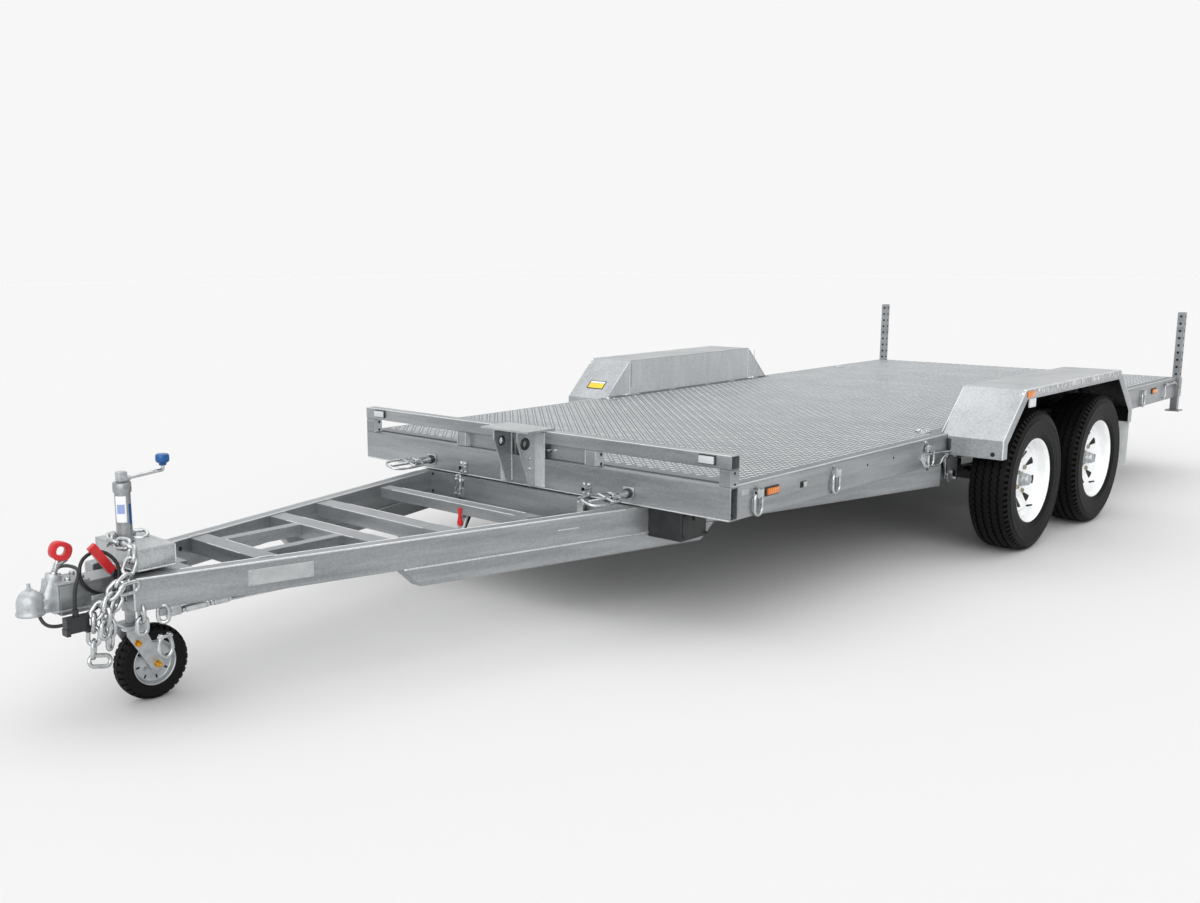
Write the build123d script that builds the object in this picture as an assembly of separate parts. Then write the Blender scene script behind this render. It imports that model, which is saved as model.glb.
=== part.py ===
"""Tilt-bed tandem-axle car trailer. Millimetres, +X to the nose, +Y to the left, +Z up, ground at z = 0."""

from build123d import *
import math
import os

# ---- driving dimensions -------------------------------------------------------------------------
# Lengthwise places are counted from the front face of the deck (x = 0) until a part is written.
DECK_LENGTH = 4880.0
DECK_WIDTH = 2000.0
DECK_TOP = 565.0
DECK_UNDERSIDE = 440.0
RAIL_WIDTH = 50.0
RAIL_WALL = 5.0
FLOOR_PLATE = 4.0
HEADBOARD_TOP = 672.0
HEADBOARD_TUBE = 50.0
HEADBOARD_BEAM_TOP = 560.0

OVERALL_WIDTH = 2500.0
AXLE_FRONT_X = -2090.0
AXLE_SPACING = 800.0
TYRE_RADIUS = 325.0
TYRE_WIDTH = 188.0
TYRE_INSET = 10.0            # outer sidewall to fender skirt
RIM_FLANGE_RADIUS = 194.0
RIM_WIDTH = 155.0

BEAM_NOSE_X = 1798.0
BEAM_NOSE_HALF = 153.0       # outer face of an A-frame beam at the nose
BEAM_HEIGHT = 100.0
BEAM_WIDTH = 50.0
BEAM_WALL = 5.0
DECK_GAP = 5.0               # dark gap between the deck and what it rests over
HINGE_X = -1720.0
HINGE_LEAD = 100.0           # beam ends this far ahead of the hinge pin
HINGE_PIN_RADIUS = 12.0
PIN_CLEARANCE = 0.05
BOLT_CLEARANCE = 0.01
EYE_PLAY = 0.3               # round a ring or link in its eye
WELD_GAP = 0.2               # between pieces that are welded end to side
OVERCUT = 1.0                # how far a cutting shape runs past the face it opens

TONGUE_HALF = 50.0
TONGUE_FRONT_X = 1975.0
TONGUE_REAR_X = 1560.0
BALL_X = 2043.0
BALL_RADIUS = 25.0
COUPLING_RADIUS = 41.0

JOCKEY_X = 1737.0
JOCKEY_TUBE_RADIUS = 24.0
JOCKEY_STEM_RADIUS = 16.0
JOCKEY_WHEEL_RADIUS = 120.0
JOCKEY_WHEEL_WIDTH = 60.0
JOCKEY_TRAIL = 60.0
JOCKEY_TOP = 697.0

FENDER_SHEET = 4.0
FENDER_TOP = 760.0
FENDER_INNER_HALF = 970.0
FENDER_FLAT_HALF = 594.0
FENDER_HALF_LENGTH = 806.0
FENDER_SHOULDER = 556.0
FENDER_FOOT = 473.0
FENDER_SKIRT = 45.0
FENDER_SHIFT = 14.0          # fender middle ahead of the axle group's middle

LEG_TUBE = 40.0
LEG_WALL = 4.0
LEG_TOP = 970.0
LEG_FOOT_Z = 352.0
LEG_INSET = 5.0              # leg axis inside the deck's side face
LEG_PLAY = 0.3
SOCKET_WALL = 5.0
LEG_FOOT = 80.0

CORD_DIAMETER = 11.0

# ---- sizes that follow ---------------------------------------------------------------------------
HALF = DECK_WIDTH / 2
BEAM_TOP = DECK_UNDERSIDE - DECK_GAP
BEAM_BOTTOM = BEAM_TOP - BEAM_HEIGHT
BEAM_REAR_X = HINGE_X + HINGE_LEAD
BEAM_SLOPE = (HALF - BEAM_NOSE_HALF) / (BEAM_NOSE_X - BEAM_REAR_X)
BEAM_SPAN = BEAM_WIDTH / math.cos(math.atan(BEAM_SLOPE))
TYRE_OUTER = OVERALL_WIDTH / 2 - TYRE_INSET
WHEEL_Y = TYRE_OUTER - TYRE_WIDTH / 2
AXLE_XS = (AXLE_FRONT_X, AXLE_FRONT_X - AXLE_SPACING)
AXLE_MID_X = sum(AXLE_XS) / 2
FENDER_X = AXLE_MID_X + FENDER_SHIFT
LEG_X = -DECK_LENGTH - SOCKET_WALL - LEG_PLAY - LEG_TUBE / 2
LEG_Y = HALF - LEG_INSET
COUPLING_FRONT_X = BALL_X + COUPLING_RADIUS
REAR_X = LEG_X - LEG_FOOT / 2
ORIGIN_X = (COUPLING_FRONT_X + REAR_X) / 2
SIDES = {"left": 1, "right": -1}


# ---- helpers -------------------------------------------------------------------------------------
def block(x0, x1, y0, y1, z0, z1):
    """A box between six planes."""
    centre = Pos((x0 + x1) / 2, (y0 + y1) / 2, (z0 + z1) / 2)
    return centre * Box(abs(x1 - x0), abs(y1 - y0), abs(z1 - z0))


def side_plate(points, y0, y1):
    """A plate with an outline in X and Z, from y0 to y1."""
    outline = Plane.XZ * Polygon(*points, align=None)
    return Pos(0, y0, 0) * extrude(outline, amount=y1 - y0, dir=(0, 1, 0))


def plan_plate(points, z0, z1):
    """A plate with an outline in X and Y, from z0 to z1."""
    return Pos(0, 0, z0) * extrude(Polygon(*points, align=None), amount=z1 - z0, dir=(0, 0, 1))


def rod(start, end, radius):
    """A round bar from one point to another."""
    run = Vector(*end) - Vector(*start)
    seat = Plane(origin=Vector(*start), z_dir=run)
    return seat * Cylinder(radius, run.length, align=(Align.CENTER, Align.CENTER, Align.MIN))


def turned(profile, centre, radial, axial):
    """A solid of revolution: points are (radius, distance along the axial direction)."""
    seat = Plane(origin=centre, x_dir=radial, z_dir=Vector(*radial).cross(Vector(*axial)))
    outline = seat * Polygon(*profile, align=None)
    return revolve(outline, axis=Axis(centre, axial))


def link(length, width, wire):
    """A chain link or oval ring in the XZ plane, its long way along Z, centred."""
    bend = width / 2 - wire
    reach = length / 2 - wire - bend
    section = Plane.XY * Pos(bend, 0) * Circle(wire)
    half = revolve(section, axis=Axis.Y, revolution_arc=-180)
    upper = Pos(0, 0, reach) * half
    lower = Pos(0, 0, -reach) * Rot(0, 180, 0) * half
    bars = [rod((s * bend, 0, -reach), (s * bend, 0, reach), wire) for s in (-1, 1)]
    return upper + lower + bars[0] + bars[1]


def slack_link(length, width, wire):
    """A link a little fatter all round, to cut an eye that it hangs in."""
    return link(length + 2 * EYE_PLAY, width + 2 * EYE_PLAY, wire + EYE_PLAY)


def mirrored(shape):
    """The same piece on the right-hand side."""
    return mirror(shape, about=Plane.XZ)


def outer_y(x):
    """Outer face of the left A-frame beam at a place along the trailer."""
    return BEAM_NOSE_HALF + (BEAM_NOSE_X - x) * BEAM_SLOPE


def inner_y(x):
    """Inner face of the left A-frame beam."""
    return outer_y(x) - BEAM_SPAN


def between_beams(front, rear):
    """Plan outline of a piece that fits between the two beams."""
    ends = [(x, inner_y(x) - WELD_GAP) for x in (front, rear)]
    return ends + [(x, -y) for x, y in reversed(ends)]


PARTS = {}


def node(name, *solids):
    """Keep the solids of one named sub-part."""
    PARTS[name] = solids


# ---- drawbar -------------------------------------------------------------------------------------
def a_frame_beam():
    """Rectangular tube from the nose to the hinge lug, closed at the nose."""
    shift = BEAM_WALL / math.cos(math.atan(BEAM_SLOPE))
    ends = (BEAM_NOSE_X, BEAM_REAR_X)
    outline = [(x, outer_y(x)) for x in ends] + [(x, inner_y(x)) for x in reversed(ends)]
    inside = (BEAM_NOSE_X - BEAM_WALL, BEAM_REAR_X - OVERCUT)
    bore = [(x, outer_y(x) - shift) for x in inside] + [(x, inner_y(x) + shift) for x in reversed(inside)]
    tube = plan_plate(outline, BEAM_BOTTOM, BEAM_TOP)
    return tube - plan_plate(bore, BEAM_BOTTOM + BEAM_WALL, BEAM_TOP - BEAM_WALL)


LOWER_RAIL_FRONT = 950.0
LOWER_RAIL_REAR = -360.0
LOWER_RAIL_DEPTH = 66.0


def lower_rail():
    """Stiffening tube under an A-frame beam, with both ends cut at 45 degrees."""
    ends = (LOWER_RAIL_FRONT, LOWER_RAIL_REAR)
    plan = [(x, outer_y(x)) for x in ends] + [(x, inner_y(x)) for x in reversed(ends)]
    floor = BEAM_BOTTOM - LOWER_RAIL_DEPTH
    side = [(LOWER_RAIL_FRONT, BEAM_BOTTOM), (LOWER_RAIL_FRONT - LOWER_RAIL_DEPTH, floor),
            (LOWER_RAIL_REAR + LOWER_RAIL_DEPTH, floor), (LOWER_RAIL_REAR, BEAM_BOTTOM)]
    return plan_plate(plan, floor, BEAM_BOTTOM) & side_plate(side, 0, HALF)


# front edge, width, depth and drop below the beam's top of each member of the ladder
LADDER = (
    (1400.0, 75.0, 50.0, 4.0),
    (1020.0, 75.0, 50.0, 4.0),
    (766.0, 80.0, 50.0, 4.0),
    (470.0, 60.0, 40.0, 4.0),
)
INNER_RAIL_Y = 120.0
INNER_RAIL_WIDTH = 40.0
CHANNEL_WALL = 5.0
BRAKE_ROD_Y = 50.0
BRAKE_ROD_Z = 300.0
BRAKE_ROD_RADIUS = 6.0
HANGER_THICKNESS = 8.0
HANGER_HALF = 15.0
ROD_PLAY = 0.3


def brake_line(x0, x1, radius):
    """Round bar on the brake rod's line."""
    return rod((x0, BRAKE_ROD_Y, BRAKE_ROD_Z), (x1, BRAKE_ROD_Y, BRAKE_ROD_Z), radius)


def ladder_member(front, width, depth, drop):
    """Channel with its web up, cut to lie between the two beams, with the brake rod's hanger."""
    rear = front - width
    top = BEAM_TOP - drop
    member = plan_plate(between_beams(front, rear), top - depth, top)
    underside = top - CHANNEL_WALL
    member -= block(rear + CHANNEL_WALL, front - CHANNEL_WALL, -HALF, HALF, top - depth - OVERCUT, underside)
    middle = rear + CHANNEL_WALL / 2
    x0, x1 = middle - HANGER_THICKNESS / 2, middle + HANGER_THICKNESS / 2
    y0, y1 = BRAKE_ROD_Y - HANGER_HALF, BRAKE_ROD_Y + HANGER_HALF
    hanger = block(x0, x1, y0, y1, BRAKE_ROD_Z - HANGER_HALF, underside)
    return member + (hanger - brake_line(x0 - OVERCUT, x1 + OVERCUT, BRAKE_ROD_RADIUS + ROD_PLAY))


def inner_rail():
    """Short fore-and-aft rail between the first two ladder members."""
    front = LADDER[0][0] - LADDER[0][1] - WELD_GAP
    rear = LADDER[1][0] + WELD_GAP
    top = BEAM_TOP - LADDER[0][3]
    y0, y1 = INNER_RAIL_Y - INNER_RAIL_WIDTH / 2, INNER_RAIL_Y + INNER_RAIL_WIDTH / 2
    return block(rear, front, y0, y1, top - INNER_RAIL_WIDTH, top)


CROSSBEAM_FRONT = 20.0
CROSSBEAM_FLANGE = 60.0
HIDDEN_CROSSBEAMS = (-820.0, -1480.0)


def crossbeam(front):
    """C-section between the beams, web forward, flanges to the rear."""
    rear = front - CROSSBEAM_FLANGE
    member = plan_plate(between_beams(front, rear), BEAM_BOTTOM, BEAM_TOP)
    low, high = BEAM_BOTTOM + CHANNEL_WALL, BEAM_TOP - CHANNEL_WALL
    return member - block(rear - OVERCUT, front - CHANNEL_WALL, -HALF, HALF, low, high)


TONGUE_TOP = BEAM_TOP - 5.0
TONGUE_BOTTOM = BEAM_BOTTOM + 5.0
NOSE_PLATE_FRONT_X = 1768.0
LOWER_NOSE_PLATE_REAR_X = 1500.0
UPPER_NOSE_PLATE_REAR_X = 1600.0


def jockey_line(radius):
    """Round bar up the jockey leg's line, to bore what the leg passes through."""
    return rod((JOCKEY_X, 0, 0), (JOCKEY_X, 0, DECK_TOP), radius)


def tongue():
    """Square tube down the middle of the nose, bored for the jockey tube."""
    tube = block(TONGUE_REAR_X, TONGUE_FRONT_X, -TONGUE_HALF, TONGUE_HALF, TONGUE_BOTTOM, TONGUE_TOP)
    inside = TONGUE_HALF - BEAM_WALL
    low, high = TONGUE_BOTTOM + BEAM_WALL, TONGUE_TOP - BEAM_WALL
    tube -= block(TONGUE_REAR_X - OVERCUT, TONGUE_FRONT_X + OVERCUT, -inside, inside, low, high)
    return tube - jockey_line(JOCKEY_TUBE_RADIUS + ROD_PLAY)


def nose_plate(z0, z1, rear):
    """Gusset from beam to beam that carries the tongue, bored for the jockey tube."""
    plate = plan_plate(between_beams(NOSE_PLATE_FRONT_X, rear), z0, z1)
    return plate - jockey_line(JOCKEY_TUBE_RADIUS + ROD_PLAY)


HINGE_Z = (BEAM_TOP + BEAM_BOTTOM) / 2
LUG_RADIUS = 32.0
LUG_HALF_THICKNESS = 16.0
LUG_CAP = 8.0
LUG_Y = HALF - RAIL_WIDTH / 2
BRACKET_PLATE = 10.0
BRACKET_LEAD = 80.0
BRACKET_HALF = 45.0
BRACKET_TOP = 490.0
BRACKET_NOTCH = FENDER_FOOT - 3.0      # passes under the fender's front foot
BRACKET_BOTTOM = HINGE_Z - 40.0
BRACKET_CORNER = 20.0
PIN_HEAD = 6.0


def hinge_line(y0, y1, radius):
    """Round bar on the hinge's axis, on the left side."""
    return rod((HINGE_X, y0, HINGE_Z), (HINGE_X, y1, HINGE_Z), radius)


def hinge_lug():
    """Solid eye on the rear end of a beam."""
    y0, y1 = LUG_Y - LUG_HALF_THICKNESS, LUG_Y + LUG_HALF_THICKNESS
    cap_x = BEAM_REAR_X - LUG_CAP
    stem = block(HINGE_X, cap_x, y0, y1, HINGE_Z - LUG_RADIUS, HINGE_Z + LUG_RADIUS)
    cap_y = (inner_y(BEAM_REAR_X), outer_y(BEAM_REAR_X))
    stem += block(cap_x, BEAM_REAR_X, *cap_y, BEAM_BOTTOM, BEAM_TOP)
    eye = hinge_line(y0, y1, LUG_RADIUS)
    return stem + eye - hinge_line(y0 - OVERCUT, y1 + OVERCUT, HINGE_PIN_RADIUS + PIN_CLEARANCE)


def hinge_pin():
    """Headed pin that runs through the lug and both deck plates."""
    inside = HALF - RAIL_WIDTH - BRACKET_PLATE - 4
    outside = HALF + BRACKET_PLATE + 1
    shank = hinge_line(inside, outside, HINGE_PIN_RADIUS)
    return shank + hinge_line(outside, outside + PIN_HEAD, HINGE_PIN_RADIUS + 5)


def hinge_plates():
    """The two deck plates either side of a lug, bored for the pin."""
    front, rear = HINGE_X + BRACKET_LEAD, HINGE_X - BRACKET_HALF
    corner_x = BRACKET_HALF - BRACKET_CORNER
    corner_z = BRACKET_BOTTOM + BRACKET_CORNER
    notch_x = FENDER_X + FENDER_HALF_LENGTH + 4
    outline = [(front, BRACKET_TOP), (notch_x, BRACKET_TOP), (notch_x, BRACKET_NOTCH),
               (rear, BRACKET_NOTCH), (rear, corner_z), (HINGE_X - corner_x, BRACKET_BOTTOM),
               (HINGE_X + corner_x, BRACKET_BOTTOM), (HINGE_X + BRACKET_HALF, corner_z),
               (front, DECK_UNDERSIDE)]
    bore = hinge_line(0, OVERALL_WIDTH, HINGE_PIN_RADIUS + PIN_CLEARANCE)
    inner_face = HALF - RAIL_WIDTH - BRACKET_PLATE
    plates = [side_plate(outline, y0, y0 + BRACKET_PLATE) - bore for y0 in (inner_face, HALF)]
    return plates


# ---- coupling and handles ------------------------------------------------------------------------
COUPLING_BOTTOM = TONGUE_BOTTOM + 10.0
SOCKET_DEPTH = 48.0
POST_X = BALL_X - 62.0
SOCKET_PLAY = 0.5
COUPLING_PLATE = 8.0
POST_FOOT = (POST_X + 19.0, COUPLING_BOTTOM + 12.0)
POST_TOP = (POST_X - 15.0, COUPLING_BOTTOM + 106.0)
POST_RADIUS = 19.0


def coupling():
    """Cast ball housing with a hollow socket below, a leaning lock post and a plate on the tongue."""
    centre_z = COUPLING_BOTTOM + 22
    dome = Pos(BALL_X, 0, centre_z) * Sphere(COUPLING_RADIUS)
    dome += rod((BALL_X, 0, COUPLING_BOTTOM), (BALL_X, 0, centre_z), COUPLING_RADIUS)
    dome &= block(BALL_X - 60, BALL_X + 60, -60, 60, COUPLING_BOTTOM, DECK_TOP)
    neck = block(TONGUE_FRONT_X, BALL_X, -24, 24, COUPLING_BOTTOM, COUPLING_BOTTOM + 52)
    post = rod((POST_FOOT[0], 0, POST_FOOT[1]), (POST_TOP[0], 0, POST_TOP[1]), POST_RADIUS)
    width = TONGUE_HALF
    lid = TONGUE_TOP + COUPLING_PLATE
    sleeve = block(TONGUE_FRONT_X - 95, TONGUE_FRONT_X, -width, width, TONGUE_TOP, lid)
    face = block(TONGUE_FRONT_X, TONGUE_FRONT_X + COUPLING_PLATE, -width, width, COUPLING_BOTTOM, lid)
    nipple = rod((BALL_X, 0, centre_z + COUPLING_RADIUS - 3), (BALL_X, 0, centre_z + COUPLING_RADIUS + 16), 6)
    tongue_space = block(TONGUE_REAR_X, TONGUE_FRONT_X, -HALF, HALF, 0, TONGUE_TOP)
    body = dome + neck + post + sleeve + face + nipple - tongue_space
    ball = (BALL_X, 0, COUPLING_BOTTOM + SOCKET_DEPTH - BALL_RADIUS - 12)
    body -= Pos(*ball) * Sphere(BALL_RADIUS + SOCKET_PLAY)
    return body - rod((BALL_X, 0, 0), ball, BALL_RADIUS + SOCKET_PLAY)


HANDLE_RING_RADIUS = 24.0
HANDLE_RING_WIRE = 9.0
PLUNGER_LENGTH = 51.0


def coupling_handle():
    """Lock plunger with a round pull ring on top."""
    foot = Vector(POST_TOP[0], 0, POST_TOP[1])
    lean = (foot - Vector(POST_FOOT[0], 0, POST_FOOT[1])).normalized()
    top = foot + lean * PLUNGER_LENGTH
    stem = rod(foot, top, 7)
    collar = rod(foot, (foot + lean * 8), 13)
    middle = top + lean * (HANDLE_RING_RADIUS + 2)
    ring = Pos(middle.X, middle.Y, middle.Z) * Rot(90, 0, 0) * Torus(HANDLE_RING_RADIUS, HANDLE_RING_WIRE)
    return stem + collar + ring


LEVER_PIVOT = (1775.0, 390.0)
LEVER_TIP = (1878.0, 534.0)
GRIP_LENGTH = 105.0
LEVER_OFFSET = 10.0
LEVER_THICKNESS = 6.0


def handbrake_lever():
    """Flat steel lever on the tongue's left side with a moulded grip."""
    pivot = Vector(LEVER_PIVOT[0], TONGUE_HALF, LEVER_PIVOT[1])
    tip = Vector(LEVER_TIP[0], TONGUE_HALF, LEVER_TIP[1])
    along = (tip - pivot).normalized()
    length = (tip - pivot).length
    seat = Plane(origin=pivot, x_dir=along, z_dir=(0, 1, 0)) * Pos(0, 0, LEVER_OFFSET + LEVER_THICKNESS / 2)
    bar = seat * Pos(length / 2 - 8, 0, 0) * Box(length, 22, LEVER_THICKNESS)
    boss = rod(pivot, (pivot.X, TONGUE_HALF + LEVER_OFFSET + LEVER_THICKNESS, pivot.Z), 15)
    middle = seat * Pos(length - GRIP_LENGTH / 2, 0, 0)
    grip = middle * Box(GRIP_LENGTH, 26, 18)
    sleeve = middle * Box(GRIP_LENGTH + 20, 22 + 2 * WELD_GAP, LEVER_THICKNESS + 2 * WELD_GAP)
    return bar + boss, grip - (sleeve - seat * Pos(length + 5, 0, 0) * Box(18, 40, 40))


# ---- chains, brake rod and battery box -----------------------------------------------------------
CHAIN_WIRE = 6.0
CHAIN_LENGTH = 60.0
CHAIN_WIDTH = 41.0
LINK_PLAY = 0.6
CHAIN_PITCH = CHAIN_LENGTH - 4 * CHAIN_WIRE - LINK_PLAY
CHAIN_LUG_REACH = 118.0
CHAIN_LUG_HALF = 5.0
# place of each hanging strand, height of its first link's middle, links
STRANDS = ((1852.0, 127.0, 378.0, 4), (1898.0, 127.0, 378.0, 5), (1640.0, 168.0, 300.0, 3))
# each lug's rear and front, its Y, bottom and top
CHAIN_LUGS = (
    (BEAM_NOSE_X, BEAM_NOSE_X + CHAIN_LUG_REACH, 127.0, 387.0, 421.0),
    (1620.0, 1660.0, 168.0, 309.0, BEAM_BOTTOM),
)


def strand(x, y, z, count):
    """Links hanging straight down, each turned a quarter from the last."""
    links = []
    for index in range(count):
        turn = Rot(0, 0, 90 if index % 2 == 0 else 0)
        links.append(Pos(x, y, z - CHAIN_PITCH * index) * turn * link(CHAIN_LENGTH, CHAIN_WIDTH, CHAIN_WIRE))
    return links


def chain_lugs():
    """Eyed plates for the chains: one on the left beam's nose, one under that beam."""
    eye = Rot(0, 0, 90) * slack_link(CHAIN_LENGTH, CHAIN_WIDTH, CHAIN_WIRE)
    lugs = []
    for x0, x1, y, z0, z1 in CHAIN_LUGS:
        plate = block(x0, x1, y - CHAIN_LUG_HALF, y + CHAIN_LUG_HALF, z0, z1)
        for place in STRANDS:
            plate -= Pos(*place[:3]) * eye
        lugs.append(plate)
    return lugs


BRAKE_ROD_FRONT = 1560.0
BRAKE_ROD_REAR = 330.0
TURNBUCKLE_RADIUS = 9.0
TURNBUCKLES = ((1500.0, 1550.0), (1430.0, 1480.0))


def brake_rod():
    """Rod under the ladder members with a clevis at the front and a turnbuckle behind it."""
    bar = brake_line(BRAKE_ROD_REAR, BRAKE_ROD_FRONT, BRAKE_ROD_RADIUS)
    for x0, x1 in TURNBUCKLES:
        bar += brake_line(x0, x1, TURNBUCKLE_RADIUS)
    return bar


BOX_FRONT = -42.0
BOX_LENGTH = 155.0
BOX_OUTER = 762.0
BOX_BOTTOM = 320.0


def battery_box():
    """Breakaway battery box on the outer face of the left beam, under the deck's front corner."""
    rear = BOX_FRONT - BOX_LENGTH
    plan = [(BOX_FRONT, outer_y(BOX_FRONT) + WELD_GAP), (BOX_FRONT, BOX_OUTER),
            (rear, BOX_OUTER), (rear, outer_y(rear) + WELD_GAP)]
    return plan_plate(plan, BOX_BOTTOM, BEAM_TOP - 5)


# ---- lamps ---------------------------------------------------------------------------------------
MARKER_LENGTH = 92.0
MARKER_HEIGHT = 34.0
MARKER_DEPTH = 12.0
SIDE_MARKERS = ((-258.0, 516.0), (-4460.0, 516.0))


def lamp_block(x, y, z):
    """Lamp whose back lies on a side face."""
    length, height = MARKER_LENGTH / 2, MARKER_HEIGHT / 2
    return block(x - length, x + length, y, y + MARKER_DEPTH, z - height, z + height)


def side_markers():
    """Amber lamps on the side rails and at the front top corner of each fender's skirt."""
    x = FENDER_X + FENDER_FLAT_HALF - MARKER_LENGTH / 2 - 6
    lamps = [lamp_block(place, HALF, z) for place, z in SIDE_MARKERS]
    return lamps + [lamp_block(x, OVERALL_WIDTH / 2, FENDER_TOP - FENDER_SKIRT / 2)]


def front_marker():
    """Clear lamp on the headboard's top tube near its end."""
    z = HEADBOARD_TOP - HEADBOARD_TUBE / 2
    return block(0, MARKER_DEPTH, HALF - 160, HALF - 60, z - MARKER_HEIGHT / 2, z + MARKER_HEIGHT / 2)


TAIL_LAMP_LENGTH = 280.0
TAIL_LAMP_HEIGHT = 90.0
TAIL_LAMP_DEPTH = 28.0


def tail_lamp():
    """Combination lamp on the rear beam."""
    z = (DECK_UNDERSIDE + DECK_TOP - FLOOR_PLATE) / 2
    y = HALF - 90
    half = TAIL_LAMP_HEIGHT / 2
    rear = -DECK_LENGTH - TAIL_LAMP_DEPTH
    return block(rear, -DECK_LENGTH, y - TAIL_LAMP_LENGTH, y, z - half, z + half)


# ---- jockey stand --------------------------------------------------------------------------------
GUIDE_LENGTH = 40.0
OUTER_TUBE_BOTTOM = 300.0
CROWN_TOP = JOCKEY_WHEEL_RADIUS * 2 + 18.0
CROWN_THICKNESS = 10.0
SWIVEL_PIN_RADIUS = 10.0
FORK_PLATE = 6.0
FORK_GAP = 6.0
JOCKEY_AXLE_RADIUS = 7.0
JOCKEY_RIM_RADIUS = 70.0
JOCKEY_RIM_HALF = 24.0
JOCKEY_TUBE_WALL = 4.0
JOCKEY_CAP_HEIGHT = 30.0


def jockey_outer_tube():
    """Outer tube with a cap at the top and a guide bush at the bottom."""
    x0 = JOCKEY_STEM_RADIUS + PIN_CLEARANCE
    x1 = JOCKEY_TUBE_RADIUS - JOCKEY_TUBE_WALL
    roof = JOCKEY_TOP - 6
    profile = [(x0, OUTER_TUBE_BOTTOM), (JOCKEY_TUBE_RADIUS, OUTER_TUBE_BOTTOM),
               (JOCKEY_TUBE_RADIUS, JOCKEY_TOP - JOCKEY_CAP_HEIGHT),
               (JOCKEY_TUBE_RADIUS + 3, JOCKEY_TOP - JOCKEY_CAP_HEIGHT),
               (JOCKEY_TUBE_RADIUS + 3, JOCKEY_TOP), (0, JOCKEY_TOP), (0, roof), (x1, roof),
               (x1, OUTER_TUBE_BOTTOM + GUIDE_LENGTH), (x0, OUTER_TUBE_BOTTOM + GUIDE_LENGTH)]
    return turned(profile, (JOCKEY_X, 0, 0), (1, 0, 0), (0, 0, 1))


CRANK_REACH = 139.0
CRANK_RISE = 12.0
CRANK_END = 14.0
CRANK_LOW = JOCKEY_TOP + 8.0
KNOB_RADIUS = 22.0
KNOB_HEIGHT = 36.0
CRANK_RADIUS = 6.0


def jockey_crank():
    """Gear head on the tube with the cranked rod to the rear."""
    head = rod((JOCKEY_X, 0, JOCKEY_TOP), (JOCKEY_X, 0, JOCKEY_TOP + 30), 17)
    bend = (JOCKEY_X - CRANK_REACH, 0, CRANK_LOW + CRANK_RISE)
    arm = rod((JOCKEY_X, 0, CRANK_LOW), bend, CRANK_RADIUS)
    elbow = Pos(*bend) * Sphere(CRANK_RADIUS)
    up = rod(bend, (bend[0], 0, bend[2] + CRANK_END), CRANK_RADIUS)
    return head + arm + elbow + up


def crank_knob():
    """Round knob on the crank's end."""
    base = CRANK_LOW + CRANK_RISE + CRANK_END
    x = JOCKEY_X - CRANK_REACH
    knob = rod((x, 0, base), (x, 0, base + KNOB_HEIGHT), KNOB_RADIUS)
    return fillet(knob.edges().filter_by(GeomType.CIRCLE), 8)


def jockey_stem():
    """Inner tube, solid at its foot, with the swivel pin and its nut below the crown."""
    foot = CROWN_TOP + 1.0
    profile = [(0, CROWN_TOP - CROWN_THICKNESS - 1), (SWIVEL_PIN_RADIUS, CROWN_TOP - CROWN_THICKNESS - 1),
               (SWIVEL_PIN_RADIUS, foot), (JOCKEY_STEM_RADIUS, foot),
               (JOCKEY_STEM_RADIUS, JOCKEY_TOP - 60), (0, JOCKEY_TOP - 60)]
    return turned(profile, (JOCKEY_X, 0, 0), (1, 0, 0), (0, 0, 1))


def jockey_fork():
    """Crown with two cheek plates that trail to the axle."""
    axle_x = JOCKEY_X - JOCKEY_TRAIL
    half = JOCKEY_WHEEL_WIDTH / 2 + FORK_GAP
    outside = half + FORK_PLATE
    underside = CROWN_TOP - CROWN_THICKNESS
    crown = block(JOCKEY_X - 34, JOCKEY_X + 34, -outside, outside, underside, CROWN_TOP)
    crown -= rod((JOCKEY_X, 0, 0), (JOCKEY_X, 0, DECK_TOP), SWIVEL_PIN_RADIUS + PIN_CLEARANCE)
    outline = [(JOCKEY_X + 34, underside), (JOCKEY_X + 34, CROWN_TOP - 60),
               (axle_x + 22, JOCKEY_WHEEL_RADIUS - 8), (axle_x + 8, JOCKEY_WHEEL_RADIUS - 22),
               (axle_x - 16, JOCKEY_WHEEL_RADIUS - 18), (axle_x - 22, JOCKEY_WHEEL_RADIUS + 8),
               (JOCKEY_X - 34, CROWN_TOP - 50), (JOCKEY_X - 34, underside)]
    fork = crown
    for y0 in (-half - FORK_PLATE, half):
        fork += side_plate(outline, y0, y0 + FORK_PLATE)
    z = JOCKEY_WHEEL_RADIUS
    ends = [(axle_x, s * (outside + OVERCUT), z) for s in (-1, 1)]
    return fork - rod(*ends, JOCKEY_AXLE_RADIUS + BOLT_CLEARANCE)


def jockey_axle():
    """Axle bolt with its head and nut."""
    axle_x = JOCKEY_X - JOCKEY_TRAIL
    half = JOCKEY_WHEEL_WIDTH / 2 + FORK_GAP + FORK_PLATE
    z = JOCKEY_WHEEL_RADIUS
    bolt = rod((axle_x, -half - 14, z), (axle_x, half + 20, z), JOCKEY_AXLE_RADIUS)
    for y in (-half - 9, half):
        bolt += Plane(origin=(axle_x, y, z), z_dir=(0, 1, 0)) * extrude(RegularPolygon(12, 6), amount=9)
    return bolt


def jockey_rim():
    """Pressed wheel on the axle bolt."""
    bore = JOCKEY_AXLE_RADIUS + PIN_CLEARANCE
    width = JOCKEY_WHEEL_WIDTH / 2
    edge = JOCKEY_RIM_HALF
    seat = JOCKEY_RIM_RADIUS
    profile = [(bore, -width), (20, -width), (20, -8), (52, -8), (seat - 10, -edge), (seat, -edge),
               (seat, edge), (seat - 10, edge), (52, 8), (20, 8), (20, width), (bore, width)]
    return turned(profile, (JOCKEY_X - JOCKEY_TRAIL, 0, JOCKEY_WHEEL_RADIUS), (1, 0, 0), (0, 1, 0))


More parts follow.
